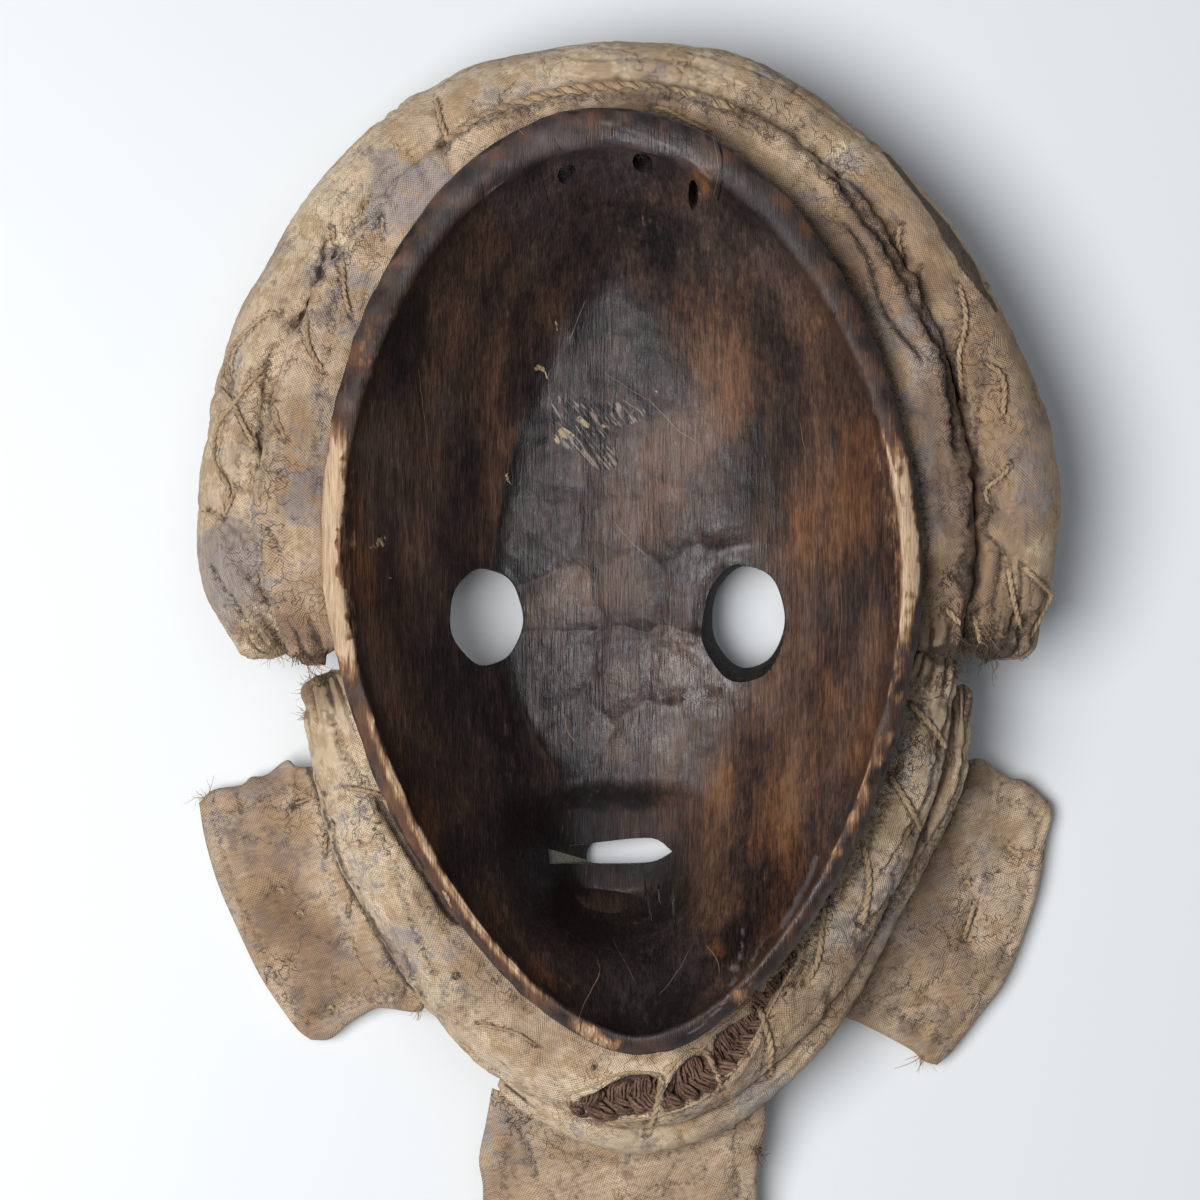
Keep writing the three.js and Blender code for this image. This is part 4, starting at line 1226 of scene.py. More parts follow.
def paint_shell(shell):
    """Where the wood is worn bare, orange, dark or chipped, where grime and painted shade lie, and where
    highlights are painted, for the material to break up.
    """
    points = points_of(shell)
    at = ShellPlaces(points)
    _, facet, border, lower = floor_facets(at.x, at.y)
    facet_tone = np.random.RandomState(5).uniform(-0.11, 0.09, len(FLOOR_FACETS))[facet]
    facet_brown = np.random.RandomState(9).uniform(-0.25, 0.45, len(FLOOR_FACETS))[facet]
    paint(shell, "bare", wood_bare(at))
    paint(shell, "orange", wood_warmth(at))
    paint(shell, "grime_and_shade", np.clip(wood_grime_and_shade(at), 0, 1))
    paint(shell, "grey", wood_grey(at, facet_brown))
    paint(shell, "tone", wood_tone(at, facet_tone, border, lower))
    paint(shell, "rim", smoothstep(at.across, -0.3, 0.0))
    # Painted highlights along the listed paths.
    paint(shell, "painted_highlight", marks_along(at.where, PAINTED_HIGHLIGHTS) * at.inner)
    paint(shell, "hatch", stain(at.where, HATCHED_WOOD) * at.inner)
    paint(shell, "chipped", stain(at.shaken, CHIPPED_WOOD) * at.inner)
    paint(shell, "slope", smoothstep(-at.x, 6.6, 8.2) * smoothstep(4.5 - np.abs(at.y + 70), 0, 0.5))
    paint(shell, "gloss", stain(at.where, GLOSSY_AND_HIGHLIT_WOOD) - 1.3 * at.pocket - 0.5 * at.on_lip)
    wobbly = at.where + 0.9 * noises(points, 2.5, (62, 63))
    for name, lines in (("pale_line", PALE_LINES), ("dark_line", DARK_LINES)):
        offset, strength = thin_lines(wobbly, lines)
        paint(shell, name + "_offset", offset)
        paint(shell, name, strength * at.inner)
    paint(shell, "inner", np.where(at.inner | (at.across > -0.2) & (at.z > 55), 1.0, 0.0))


# Stuffed cloth

GAP = 0.3
CLOTH_STEP = dict(crown=0.8, inner_crown=0.8, jaw=0.66, jaw_edge=0.8)
# A roll's rounded ends, as a share of its half depth there, and how far short of their tips its rings stop.
TAIL_SHARE, TAIL_STOP = 0.7, 0.03
KEY_STEPS = 900


def roll_form(name, step):
    """Middle points and rings of a roll, with how far along and how far round each point is."""
    keys = smooth_line(ROLLS[name], KEY_STEPS)
    middle = beside_rim(np.radians(keys[:, 0]), keys[:, 1], keys[:, 2])
    run = run_of(middle)
    tails = TAIL_SHARE * keys[0, 4], TAIL_SHARE * keys[-1, 4]
    count = int((run[-1] + sum(tails)) / step)
    at = np.linspace(TAIL_STOP - tails[0], run[-1] + tails[1] - TAIL_STOP, count)
    inside = np.clip(at, 0, run[-1])
    past = at - inside

    def pick(columns):
        return np.stack([np.interp(inside, run, column) for column in columns.T], -1)

    along = pick(unit(np.gradient(middle, axis=0)))
    centre = pick(middle) + along * past[:, None]
    half = pick(keys[:, 3:5])
    side = unit(np.cross(along, (0, 0, 1)))
    rise = np.cross(side, along)
    share = np.sqrt(np.maximum(0, 1 - (past / np.where(past < 0, *tails)) ** 2))
    count = int(2 * math.pi * half.mean() / step)
    turn = -math.pi / 2 + np.arange(count) / count * 2 * math.pi
    out = (share * half[:, 0])[:, None] * np.cos(turn)
    lift = (share * half[:, 1])[:, None] * np.sin(turn)
    rings = centre[:, None] + out[..., None] * side[:, None] + lift[..., None] * rise[:, None]
    around = np.broadcast_to(turn * half.mean(), out.shape)
    return centre, rings, np.broadcast_to(at[:, None], out.shape), around


def blur(values, times=2):
    """Softens a grid whose second axis closes on itself."""
    for _ in range(times):
        padded = np.vstack([values[:1], values, values[-1:]])
        values = (padded[:-2] + 2 * padded[1:-1] + padded[2:]) / 4
        values = (np.roll(values, 1, 1) + 2 * values + np.roll(values, -1, 1)) / 4
    return values


def fit_against(centre, rings, obstacles):
    """Draws a roll's rings in where they would run into what is already there."""
    away = rings - centre[:, None]
    reach = np.linalg.norm(away, axis=-1)
    away /= np.maximum(reach, 1e-6)[..., None]
    limit = np.full(reach.shape, 99.0)
    for i, k in np.ndindex(reach.shape):
        start, heading = Vector(centre[i]), Vector(away[i, k])
        for obstacle in obstacles:
            distance = obstacle.ray_cast(start, heading, reach[i, k] + GAP)[3]
            if distance is not None:
                limit[i, k] = min(limit[i, k], max(0.2, distance - GAP))
    fitted = np.minimum(reach, limit)
    beside = np.clip(2 * blur((limit < 99).astype(float), 4), 0, 1)
    fitted = np.minimum(mix(fitted, blur(fitted), beside), limit)
    return centre[:, None] + away * fitted[..., None]


def marks_near(where, path, margin):
    """The flat points near a path of pixels: which, how far in millimetres, share along it and side."""
    line = smooth_line(path, max(8, 4 * len(path))) if len(path) > 2 else np.asarray(path, float)
    low, high = line.min(axis=0) - margin / PIXEL, line.max(axis=0) + margin / PIXEL
    near = np.flatnonzero(np.all((where > low) & (where < high), axis=1))
    if not len(near):
        return near, None, None, None
    away, share = distance_to_line(where[near], line)
    base = np.clip((share * (len(line) - 1)).astype(int), 0, len(line) - 2)
    run = line[base + 1] - line[base]
    gone = where[near] - line[base]
    left = np.sign(run[:, 0] * gone[:, 1] - run[:, 1] * gone[:, 0])
    return near, away * PIXEL, share, left


def sew_down(where, cords, push, soil_and_shade):
    """Presses cords into the cloth, which puckers and is painted darker, as dirt and shade, beside them and
    where they go in.
    """
    for radius, path in cords:
        near, away, _, _ = marks_near(where, path, 9)
        if not len(near):
            continue
        push[near] -= 0.6 * radius * bell(away, 2.6 * radius)
        # Painted shade and dirt beside the cord.
        soil_and_shade[near] = np.maximum(soil_and_shade[near], 0.6 * bell(away - 1.1 * radius, 0.8 * radius))
        for end in (path[0], path[-1]):
            offset = where[near] - end
            far = np.linalg.norm(offset, axis=1) * PIXEL
            turn = np.arctan2(offset[:, 1], offset[:, 0])
            pucker = np.sin(5 * turn + end[0]) * smoothstep(far, 0.4, 2.5)
            push[near] += bell(far, 4.0) * (0.45 * pucker - 0.75)
            # Dirt and painted shade where the cord goes in.
            soil_and_shade[near] = np.maximum(soil_and_shade[near], 0.6 * bell(far, 1.3))


OPENING_DEPTH = 5.2


def wear_and_stitches(where, facing, openings=()):
    """The push, and the dirt and painted shade, that folds, cords and worn openings give to points seen at
    pixels.
    """
    push, soil_and_shade = np.zeros(len(where)), np.zeros(len(where))
    for width, depth, lip, path in FOLDS:
        near, away, share, left = marks_near(where, path, 4 * width + 3)
        if not len(near):
            continue
        fade = smoothstep(np.minimum(share, 1 - share), 0.0, 0.14)
        push[near] -= fade * depth * np.exp(-((away / width) ** 1.4))
        push[near] += fade * lip * (left > 0) * bell(away - 1.7 * width, 1.5 * width)
        # The fold's groove is painted darker: dirt and painted shade.
        soil_and_shade[near] = np.maximum(soil_and_shade[near], fade * min(1, 0.55 * depth) * bell(away, 0.75 * width + 0.35))
    sew_down(where, CORDS, push, soil_and_shade)
    for path in openings:
        line = smooth_line([*path, path[0]], 60)
        away = distance_to_line(where, line)[0] * PIXEL
        inside = points_inside(where, line)
        push -= OPENING_DEPTH * (smoothstep(away, 0.0, 1.0) * inside)
        push += 0.6 * bell(away - 0.8, 0.8) * (1 - inside)
        # The opening's floor is painted dark: dirt and painted shade in the recess.
        soil_and_shade = np.maximum(soil_and_shade, 1.4 * smoothstep(away, 0.0, 0.5) * inside)
    return push * facing, soil_and_shade * facing


def points_inside(points, outline):
    inside = np.zeros(len(points), bool)
    for a, b in zip(outline, np.roll(outline, -1, 0)):
        crosses = (a[1] > points[:, 1]) != (b[1] > points[:, 1])
        with np.errstate(divide="ignore", invalid="ignore"):
            at = (b[0] - a[0]) * (points[:, 1] - a[1]) / (b[1] - a[1]) + a[0]
        inside ^= crosses & (points[:, 0] < at)
    return inside.astype(float)


def stain(where, spots):
    """How stained points seen at pixels are, from spots of a place, two radii and a strength."""
    total = np.zeros(len(where))
    for x, y, wide, high, strength in spots:
        away = np.hypot((where[:, 0] - x) / wide, (where[:, 1] - y) / high)
        total = np.maximum(total, strength * (1 - smoothstep(away, 0.55, 1.25)))
    return total


# Worn and dirty places on the cloth: pixel, two radii in pixels and strength.
GREY_SPOTS = [
    (235, 560, 45, 70, 0.7), (330, 300, 45, 60, 0.75), (410, 195, 70, 45, 0.7), (310, 440, 45, 70, 0.45),
    (500, 90, 60, 25, 0.7), (700, 60, 110, 20, 0.55), (830, 190, 60, 40, 0.5), (850, 290, 60, 90, 0.75),
    (930, 440, 45, 130, 0.75), (1035, 470, 25, 140, 0.45), (350, 860, 45, 100, 0.8), (440, 960, 60, 60, 0.8),
    (900, 760, 50, 90, 0.7), (870, 900, 50, 80, 0.7), (265, 900, 70, 80, 0.7), (230, 850, 45, 50, 0.5),
    (980, 900, 60, 90, 0.4), (540, 1140, 80, 40, 0.6), (750, 1090, 60, 30, 0.6),
]
# Lighter places on the cloth, partly cleaner cloth and partly painted light, and darker ones, partly duller
# cloth and partly painted shade; then brown and dark places on the cloth, likewise.
LIT_AND_CLEAN_SPOTS = [
    (330, 200, 60, 50, 1.0), (352, 830, 40, 130, 1.0), (650, 1190, 130, 30, 0.8), (420, 980, 50, 40, 0.5),
    (620, 1060, 60, 20, 0.4), (1010, 880, 60, 100, 0.8), (930, 760, 30, 60, 0.4), (560, 1110, 60, 40, 0.4),
    (250, 400, 40, 120, 0.4), (270, 990, 30, 40, 0.5), (340, 790, 30, 40, 0.5), (222, 900, 14, 80, 0.4),
]
SHADED_AND_DULL_SPOTS = [
    (990, 440, 70, 170, 1.0), (890, 260, 70, 90, 0.6), (268, 870, 50, 100, 0.8), (320, 960, 50, 50, 0.7),
    (930, 830, 40, 120, 0.25), (840, 980, 60, 60, 0.3), (800, 110, 60, 40, 0.4), (1040, 600, 30, 60, 0.5),
]
BROWN_SPOTS = [
    (300, 300, 50, 40, 0.5), (260, 615, 50, 30, 0.8), (300, 640, 30, 30, 0.8), (960, 600, 50, 60, 0.9),
    (1000, 640, 60, 35, 1.0), (860, 260, 50, 70, 0.55), (940, 330, 40, 120, 0.6), (950, 500, 22, 120, 0.65),
    (460, 1010, 40, 30, 0.5), (300, 930, 60, 60, 0.55), (400, 985, 40, 40, 0.8), (510, 120, 45, 18, 0.7),
    (780, 1000, 40, 60, 0.7), (860, 960, 40, 60, 0.6), (640, 1190, 160, 40, 0.7), (930, 1000, 60, 40, 0.4),
    (440, 880, 30, 60, 0.7), (930, 700, 40, 40, 0.8), (330, 690, 25, 25, 0.8), (240, 1000, 60, 50, 0.5),
]
DARK_SPOTS = [
    (320, 273, 6, 9, 0.8), (456, 976, 5, 5, 1.0), (968, 575, 16, 34, 0.6), (985, 650, 34, 16, 1.1),
    (950, 655, 30, 14, 0.7), (1000, 632, 40, 14, 0.5), (930, 735, 5, 40, 0.5), (970, 700, 10, 40, 0.6),
    (594, 1067, 4, 3, 1.0), (302, 801, 7, 3, 0.9), (292, 808, 4, 4, 0.8),
]
# Dirt and painted shade along seams, edges and where one part meets another: half width in millimetres,
# strength and path in pixels.
DIRT_AND_SHADE_PATHS = [
    (3.5, 0.3, ((330, 240), (305, 305), (272, 353), (261, 410), (257, 470), (265, 540), (280, 600))),
    (3.0, 0.5, ((820, 164), (877, 236), (905, 290), (940, 357), (955, 430), (966, 520), (970, 590))),
    (2.4, 0.45, ((820, 243), (868, 301), (885, 365), (900, 420), (922, 500), (925, 600))),
    (3.2, 0.5, ((930, 660), (915, 720), (895, 775), (860, 860), (800, 950), (760, 1000))),
    (2.2, 0.4, ((320, 690), (345, 760), (380, 840), (430, 910), (480, 965), (540, 1020))),
    (2.6, 0.5, ((420, 156), (480, 122), (560, 100), (650, 96), (720, 108), (790, 150))),
    (2.5, 0.4, ((389, 206), (345, 262), (330, 330), (318, 420), (312, 520))),
    (2.4, 0.5, ((978, 700), (968, 770), (925, 858), (880, 925), (845, 965))),
    (1.3, 0.7, ((302, 752), (314, 782), (328, 828), (346, 878), (376, 930), (402, 975), (432, 1004))),
    (2.0, 0.45, ((360, 765), (385, 840), (415, 930), (440, 985))),
    (2.0, 0.4, ((560, 1150), (640, 1160), (740, 1130))),
]
# The dark strip on the crown roll's edge, with its half widths in millimetres along it.
CROWN_EDGE = ((884, 152), (901, 172), (918, 194), (935, 215), (950, 238), (965, 262), (981, 287), (996, 311))
CROWN_EDGE_WIDTHS = (0.3, 0.5, 0.45, 0.9, 1.5, 1.8, 0.7, 0.25)


# How strong marks along paths are: dirt and painted shade on the cloth, painted highlights on the wood.
def marks_along(where, paths):
    total = np.zeros(len(where))
    for width, strength, path in paths:
        near, away, share, _ = marks_near(where, path, 2.5 * width)
        if len(near):
            fade = smoothstep(np.minimum(share, 1 - share), 0, 0.06)
            total[near] = np.maximum(total[near], strength * fade * bell(away, width))
    return total


def edge_strip(where, points):
    """How dark the strip on the crown roll's edge is at points, which it meets at a ragged line."""
    dark = np.zeros(len(where))
    near, away, share, _ = marks_near(where + 4 * noise(points, 4, 111)[:, None], CROWN_EDGE, 5)
    if len(near):
        last = len(CROWN_EDGE_WIDTHS) - 1
        wide = np.interp(share * last, np.arange(last + 1), CROWN_EDGE_WIDTHS)
        dark[near] = 0.9 * (1 - smoothstep(away, 0.8 * wide, 1.2 * wide + 0.3)) * (share > 0) * (share < 1)
    return dark


def paint_cloth(obj, soil_and_shade, along, around, under_side):
    """Weave coordinates, and how light, grey, brown, dirty and shaded each point of the cloth is, with
    painted light and shade.
    """
    points = points_of(obj)
    where = picture(points)
    flat = np.zeros(len(points))
    drift = np.stack([noise(points, 6, 101), noise(points, 7, 102), flat], -1)
    paint(obj, "cloth", np.stack([along, around, flat], -1) + 0.9 * drift)
    upper = 1 - under_side
    marks = [stain(where, DARK_SPOTS), marks_along(where, DIRT_AND_SHADE_PATHS), edge_strip(where, points)]
    dirt_and_shade = np.maximum(np.clip(soil_and_shade, 0, 1), np.max(marks, axis=0) * upper)
    shaken = where + 16 * noises(points, 10, (109, 110))
    paint(obj, "crease", np.clip(0.15 + 1.1 * np.clip(dirt_and_shade, 0, 0.7) + 0.5 * noise(points, 14, 108), 0, 1))
    # Dirt and painted shade, and the undersides painted darker, as shade.
    paint(obj, "soil_and_shade", np.maximum(dirt_and_shade, 0.3 * under_side))
    lit_and_clean, dull = stain(shaken, LIT_AND_CLEAN_SPOTS), stain(shaken, SHADED_AND_DULL_SPOTS)
    # The tint takes painted light and cleaner cloth from the lighter spots, and painted shade and duller
    # cloth from the darker ones.
    paint(obj, "tint", 0.56 + 0.3 * fractal(points, 15, 105, 3) + 0.35 * lit_and_clean - 0.5 * dull)
    paint(obj, "grey", 0.1 + 0.22 * stain(shaken, GREY_SPOTS) + 0.14 * noise(points, 20, 103) - 0.06 * lit_and_clean)
    brown = 0.1 + 0.3 * stain(shaken, BROWN_SPOTS) + 0.14 * noise(points, 13, 107)
    paint(obj, "brown", brown + 0.12 * dull - 0.08 * lit_and_clean)


def wrinkle(place, size, seed):
    """Thin crooked creases from 0 to 1 about a size apart."""
    return np.clip(1 - 3.2 * np.abs(noise(place, size, seed)), 0, 1) ** 1.5


def sway(points, size=9.0):
    return 2.2 * noises(points, size, (91, 92, 93))


# The seams of each roll: where round its section, in radians from its side, how much the cloth is raised
# there and how deep its tucks are, in millimetres.
SEAMS = dict(
    crown=[(0.75, 1.7, 0.9)],
    inner_crown=[(2.4, 1.9, 0.9), (0.7, 0.4, 0.8)],
    jaw=[(2.5, 0.3, 0.5), (0.4, 0.0, 0.5)],
    jaw_edge=[(1.0, 0.3, 0.5)],
)
# How far the crown roll's outer side lies inside its plain form: spoke angle in degrees and millimetres.
CROWN_TRIM = [
    (-15, 0), (10, 0.2), (22, 1.4), (33, 3.0), (58, 2.9), (70, 2.6), (77, 1.6), (88, 1.8), (97, 2.2),
    (106, 0.9), (112, 0.2), (122, 1.5), (150, 1.4), (162, 2.4), (172, 2.2), (180, 0.4), (195, 0),
]


def trimmed(name, centre, normal):
    """How far to draw in each point of a roll, so that its outline settles where the picture has it."""
    if name != "crown":
        return 0.0
    angle, _ = on_spoke(centre[:, 0], centre[:, 1])
    degrees = (np.degrees(angle) + 90) % 360 - 90
    out = np.stack([np.cos(angle), np.sin(angle)], -1)
    outward = np.clip(np.sum(normal[..., :2] * out[:, None], -1), 0, 1)
    return np.interp(degrees, *np.transpose(CROWN_TRIM))[:, None] * outward


def gathered(along, around, weave_place):
    """The gathers at a roll's two ends: raised and sunk cloth, and the dirt and painted shade in its sunk
    folds.
    """
    length = along[-1, 0]
    from_end = np.minimum(along - along[0, 0], length - along)
    gathers = np.sin(around * 1.15 + 2.4 * noise(weave_place, 7, 55)) * bell(from_end - 4, 9.0)
    return 0.9 * gathers * smoothstep(from_end, 0.5, 4.0), 0.8 * np.clip(-gathers, 0, 1) * (from_end > 1)


def sew_seams(seams, rings, along, turn, push, soil_and_shade, creased):
    """Raises a roll's seams and sinks their tucks, which are painted darker, as dirt and shade, and creased.
    """
    for middle, height, tucked in seams:
        beside = bell(turn - middle, 0.42)
        push = push + (height + 1.2 * smoothstep(-rings[..., 0], 5, 45) * (height > 1)) * beside
        tucks = np.sin(along / 1.35 + 5 * noise(rings, 14, 59)) + 0.7 * noise(rings, 4, 60)
        push = push - tucked * np.clip(tucks, 0, 1) ** 2 * bell(turn - middle, 0.62)
        # The tucks are painted darker: dirt and painted shade.
        soil_and_shade = np.maximum(soil_and_shade, 0.35 * tucked * np.clip(tucks, 0, 1) ** 3 * bell(turn - middle, 0.5))
        creased = creased + 0.5 * tucked * beside
    return push, soil_and_shade, creased


def stuffed_roll(name, piece, obstacles, openings=()):
    """A cloth roll, fitted to what it lies against, with its folds, stitch marks and gathered ends."""
    centre, rings, along, around = roll_form(name, CLOTH_STEP[name])
    normal = grid_normals(rings)
    if np.sum(normal * (rings - centre[:, None])) < 0:
        normal = -normal
    facing = smoothstep(normal[..., 2], -0.1, 0.3).ravel()
    push, soil_and_shade = wear_and_stitches(picture(rings.reshape(-1, 3)), facing, openings)
    push, soil_and_shade = push.reshape(along.shape), soil_and_shade.reshape(along.shape)
    count = along.shape[1]
    turn = np.broadcast_to(-math.pi / 2 + np.arange(count) / count * 2 * math.pi, along.shape)
    weave_place = np.stack([along / 2.2, around, np.full_like(along, 5.0)], -1)
    across_place = np.stack([along, around / 2.4, np.full_like(along, 9.0)], -1)
    worn = blur(np.clip(soil_and_shade, 0, 1), 12)
    creased = 0.22 + 1.9 * np.clip(worn, 0, 0.5) + 0.5 * smoothstep(noise(rings, 16, 57), 0.1, 0.6)
    push, soil_and_shade, creased = sew_seams(SEAMS[name], rings, along, turn, push, soil_and_shade, creased)
    ridges = wrinkle(weave_place + 0.5 * sway(rings), 5.0, 53) + wrinkle(across_place + sway(rings), 5.5, 54)
    ridges = ridges + 0.6 * wrinkle(rings + sway(rings, 5), 2.6, 58)
    lumps = 0.8 * fractal(rings, 22, 51, 2) - 1.3 * np.tanh(creased * ridges / 1.3)
    gathers, gather_soil_and_shade = gathered(along, around, weave_place)
    # Wrinkles and the sunk gathers are painted darker: dirt and painted shade.
    soil_and_shade = np.max([soil_and_shade, 0.4 * np.clip(creased * ridges, 0, 1), gather_soil_and_shade], axis=0)
    push = push + (lumps + gathers) + 0.16 * noise(rings, 2.2, 56) - trimmed(name, centre, normal)
    rings = fit_against(centre, rings + push[..., None] * normal, obstacles)
    made = closed_rings(piece, rings[0].mean(axis=0), rings, rings[-1].mean(axis=0))

    def full(values):
        values = values.ravel()
        return np.concatenate([values[:1], values, values[-1:]])

    below = np.concatenate([[0], 1 - facing, [0]])
    paint_cloth(made, full(soil_and_shade), full(along), full(around), below)
    return made, ring_surface(rings)


# Outlines of the flaps in pixels, each from its sewn corner out, along its free edge and back in.
FLAPS = dict(
    left_ear_flap=dict(
        sewn=((362, 762), (385, 840), (415, 930), (442, 978)),
        top=((362, 762), (302, 767), (287, 760), (266, 775), (251, 777), (241, 785), (213, 790), (199, 803)),
        free=((199, 803), (205, 839), (218, 884), (238, 930), (259, 974), (281, 1008), (298, 1030),
              (311, 1040)),
        bottom=((442, 978), (427, 1000), (418, 1012), (381, 1008), (363, 1015), (346, 1026), (330, 1039),
                (311, 1040)),
    ),
    right_ear_flap=dict(
        sewn=((930, 776), (905, 850), (868, 930), (826, 992)),
        top=((930, 776), (967, 761), (981, 759), (995, 768), (1010, 778), (1026, 781), (1050, 803)),
        free=((1050, 803), (1052, 817), (1046, 842), (1038, 890), (1024, 935), (1004, 983), (979, 1016),
              (953, 1050), (937, 1065)),
        bottom=((826, 992), (841, 1014), (858, 1022), (886, 1036), (911, 1050), (924, 1061), (937, 1065)),
    ),
    chin_flap=dict(
        sewn=((492, 1088), (560, 1112), (660, 1122), (762, 1092)),
        top=((492, 1088), (486, 1122), (479, 1159), (483, 1190), (480, 1240), (474, 1300), (483, 1366)),
        free=((483, 1366), (530, 1376), (590, 1371), (660, 1378), (720, 1372), (760, 1366)),
        bottom=((762, 1092), (766, 1118), (759, 1159), (757, 1198), (764, 1250), (766, 1310), (760, 1366)),
    ),
)
FLAP_THICKNESS = 10.5
# Rough lengths of a flap from its sewn edge to its free one and along them, for the gathers of its hem.
FLAP_REACH, FLAP_WIDTH = 58, 62
FLAP_SEWN_HEIGHT, FLAP_LYING_HEIGHT = 22.0, 4.4
FLAP_STEPS = 84
FLAP_EDGE_STEPS = 200


def flap_points(edges, u, v, face):
    """Points of a flap's upper (1) or lower (-1) face: a Coons patch of its outline, pillowed."""
    curve = {key: smooth_line(path, FLAP_EDGE_STEPS) for key, path in edges.items()}

    def along(key, share):
        steps = np.arange(FLAP_EDGE_STEPS)
        return np.stack([np.interp(share * steps[-1], steps, curve[key][:, k]) for k in (0, 1)], -1)

    u_, v_ = u[..., None], v[..., None]
    corners = {key: curve[key][[0, -1]] for key in ("sewn", "free")}
    ruled = mix(along("sewn", u), along("free", u), v_) + mix(along("top", v), along("bottom", v), u_)
    flat = ruled - mix(mix(*corners["sewn"], u_), mix(*corners["free"], u_), v_)
    droop = mix(FLAP_LYING_HEIGHT, FLAP_SEWN_HEIGHT, (1 - v) ** 2)
    swell = ((1 - (2 * u - 1) ** 4) * (1 - (2 * v - 1) ** 4)).clip(0, 1) ** 0.5
    place = under(flat, droop)
    place[..., 2] = np.maximum(0, droop + face * swell * FLAP_THICKNESS / 2)
    return place


def tuft_dimples(where, soil_and_shade):
    """The push of the tufts that hold a flap's stuffing, and its dirt and painted shade with theirs."""
    push = np.zeros(len(where))
    for x, y in TUFTS:
        offset = where - (x, y)
        far = np.linalg.norm(offset, axis=1) * PIXEL
        turn = np.arctan2(offset[:, 1], offset[:, 0])
        push -= 1.7 * bell(far, 3.0) + 0.5 * bell(far, 8.0) * np.sin(4 * turn + x) * smoothstep(far, 1, 4)
        # Around each tuft the cloth is painted darker: dirt and painted shade.
        soil_and_shade = np.maximum(soil_and_shade, 0.45 * bell(far - 1.2, 0.9))
    return push, soil_and_shade


def flap_faces(u, v):
    """Quads of a flap's two faces, whose points along the edge are shared."""
    index = np.arange(u.size).reshape(u.shape)
    lower = index + u.size
    border = np.minimum(np.minimum(u, 1 - u), np.minimum(v, 1 - v)) == 0
    lower[border] = index[border]
    faces = []
    for sheet, way in ((index, 1), (lower, -1)):
        quad = np.stack([sheet[:-1, :-1], sheet[1:, :-1], sheet[1:, 1:], sheet[:-1, 1:]], -1).reshape(-1, 4)
        faces.append(quad[:, ::way])
    return np.concatenate(faces)


# How the weave lies across a flap: its warp leans this much.
FLAP_WARP = (0.9, 0.35)


def stuffed_flap(name):
    """A stuffed cloth pad: tufted, wrinkled, hemmed and gathered a little along its edge."""
    steps = np.arange(FLAP_STEPS + 1) / FLAP_STEPS
    share = mix((1 - np.cos(steps * math.pi)) / 2, steps, 0.55)
    u, v = np.meshgrid(share, share, indexing="ij")
    top, under_side = flap_points(FLAPS[name], u, v, 1), flap_points(FLAPS[name], u, v, -1)
    where = picture(top.reshape(-1, 3))
    from_sides, from_ends = np.minimum(u, 1 - u), np.minimum(v, 1 - v)
    edge = np.minimum(from_sides, from_ends)
    push, soil_and_shade = wear_and_stitches(where, np.ones(len(where)))
    dimples, soil_and_shade = tuft_dimples(where, soil_and_shade)
    push = (push + dimples).reshape(u.shape)
    push += 1.2 * fractal(top, 15, 61, 2) + 0.16 * noise(top, 2.2, 64)
    run = np.where(from_sides < from_ends, FLAP_REACH * v, FLAP_WIDTH * u)
    push += 0.55 * np.sin(run / 1.7 + 3 * noise(top, 12, 65)) * bell(edge - 0.075, 0.05)
    ridges = wrinkle(top + sway(top), 8.0, 63)
    push -= (0.3 + 0.8 * np.clip(soil_and_shade.reshape(u.shape), 0, 0.6)) * ridges
    hem = bell(edge - 0.09, 0.035)
    push -= 0.45 * hem
    top[..., 2] += push * smoothstep(edge, 0.0, 0.06)
    top[..., 2] = np.maximum(top[..., 2], under_side[..., 2] + 0.3 * smoothstep(edge, 0, 0.05))
    # Wrinkles and the hem are painted darker: dirt and painted shade.
    soil_and_shade = np.max([soil_and_shade, 0.45 * ridges.ravel(), 0.4 * hem.ravel()], axis=0)
    points = np.concatenate([top.reshape(-1, 3), under_side.reshape(-1, 3)])
    faces = flap_faces(u, v)
    used, packed = np.unique(faces, return_inverse=True)
    made = mesh_object(name + "_cloth", points[used], packed.reshape(-1, 4))
    fix_normals(made)
    dirt_and_shade = np.concatenate([soil_and_shade, np.zeros(u.size)])[used]
    x, y, _ = points_of(made).T
    straight, lean = FLAP_WARP
    below = (used >= u.size).astype(float)
    paint_cloth(made, dirt_and_shade, x * straight + y * lean, y * straight - x * lean, below)
    return made, BVHTree.FromPolygons(points.tolist(), faces.tolist())


def fix_normals(obj):
    edit = bmesh.new()
    edit.from_mesh(obj.data)
    bmesh.ops.recalc_face_normals(edit, faces=edit.faces)
    edit.to_mesh(obj.data)
    edit.free()


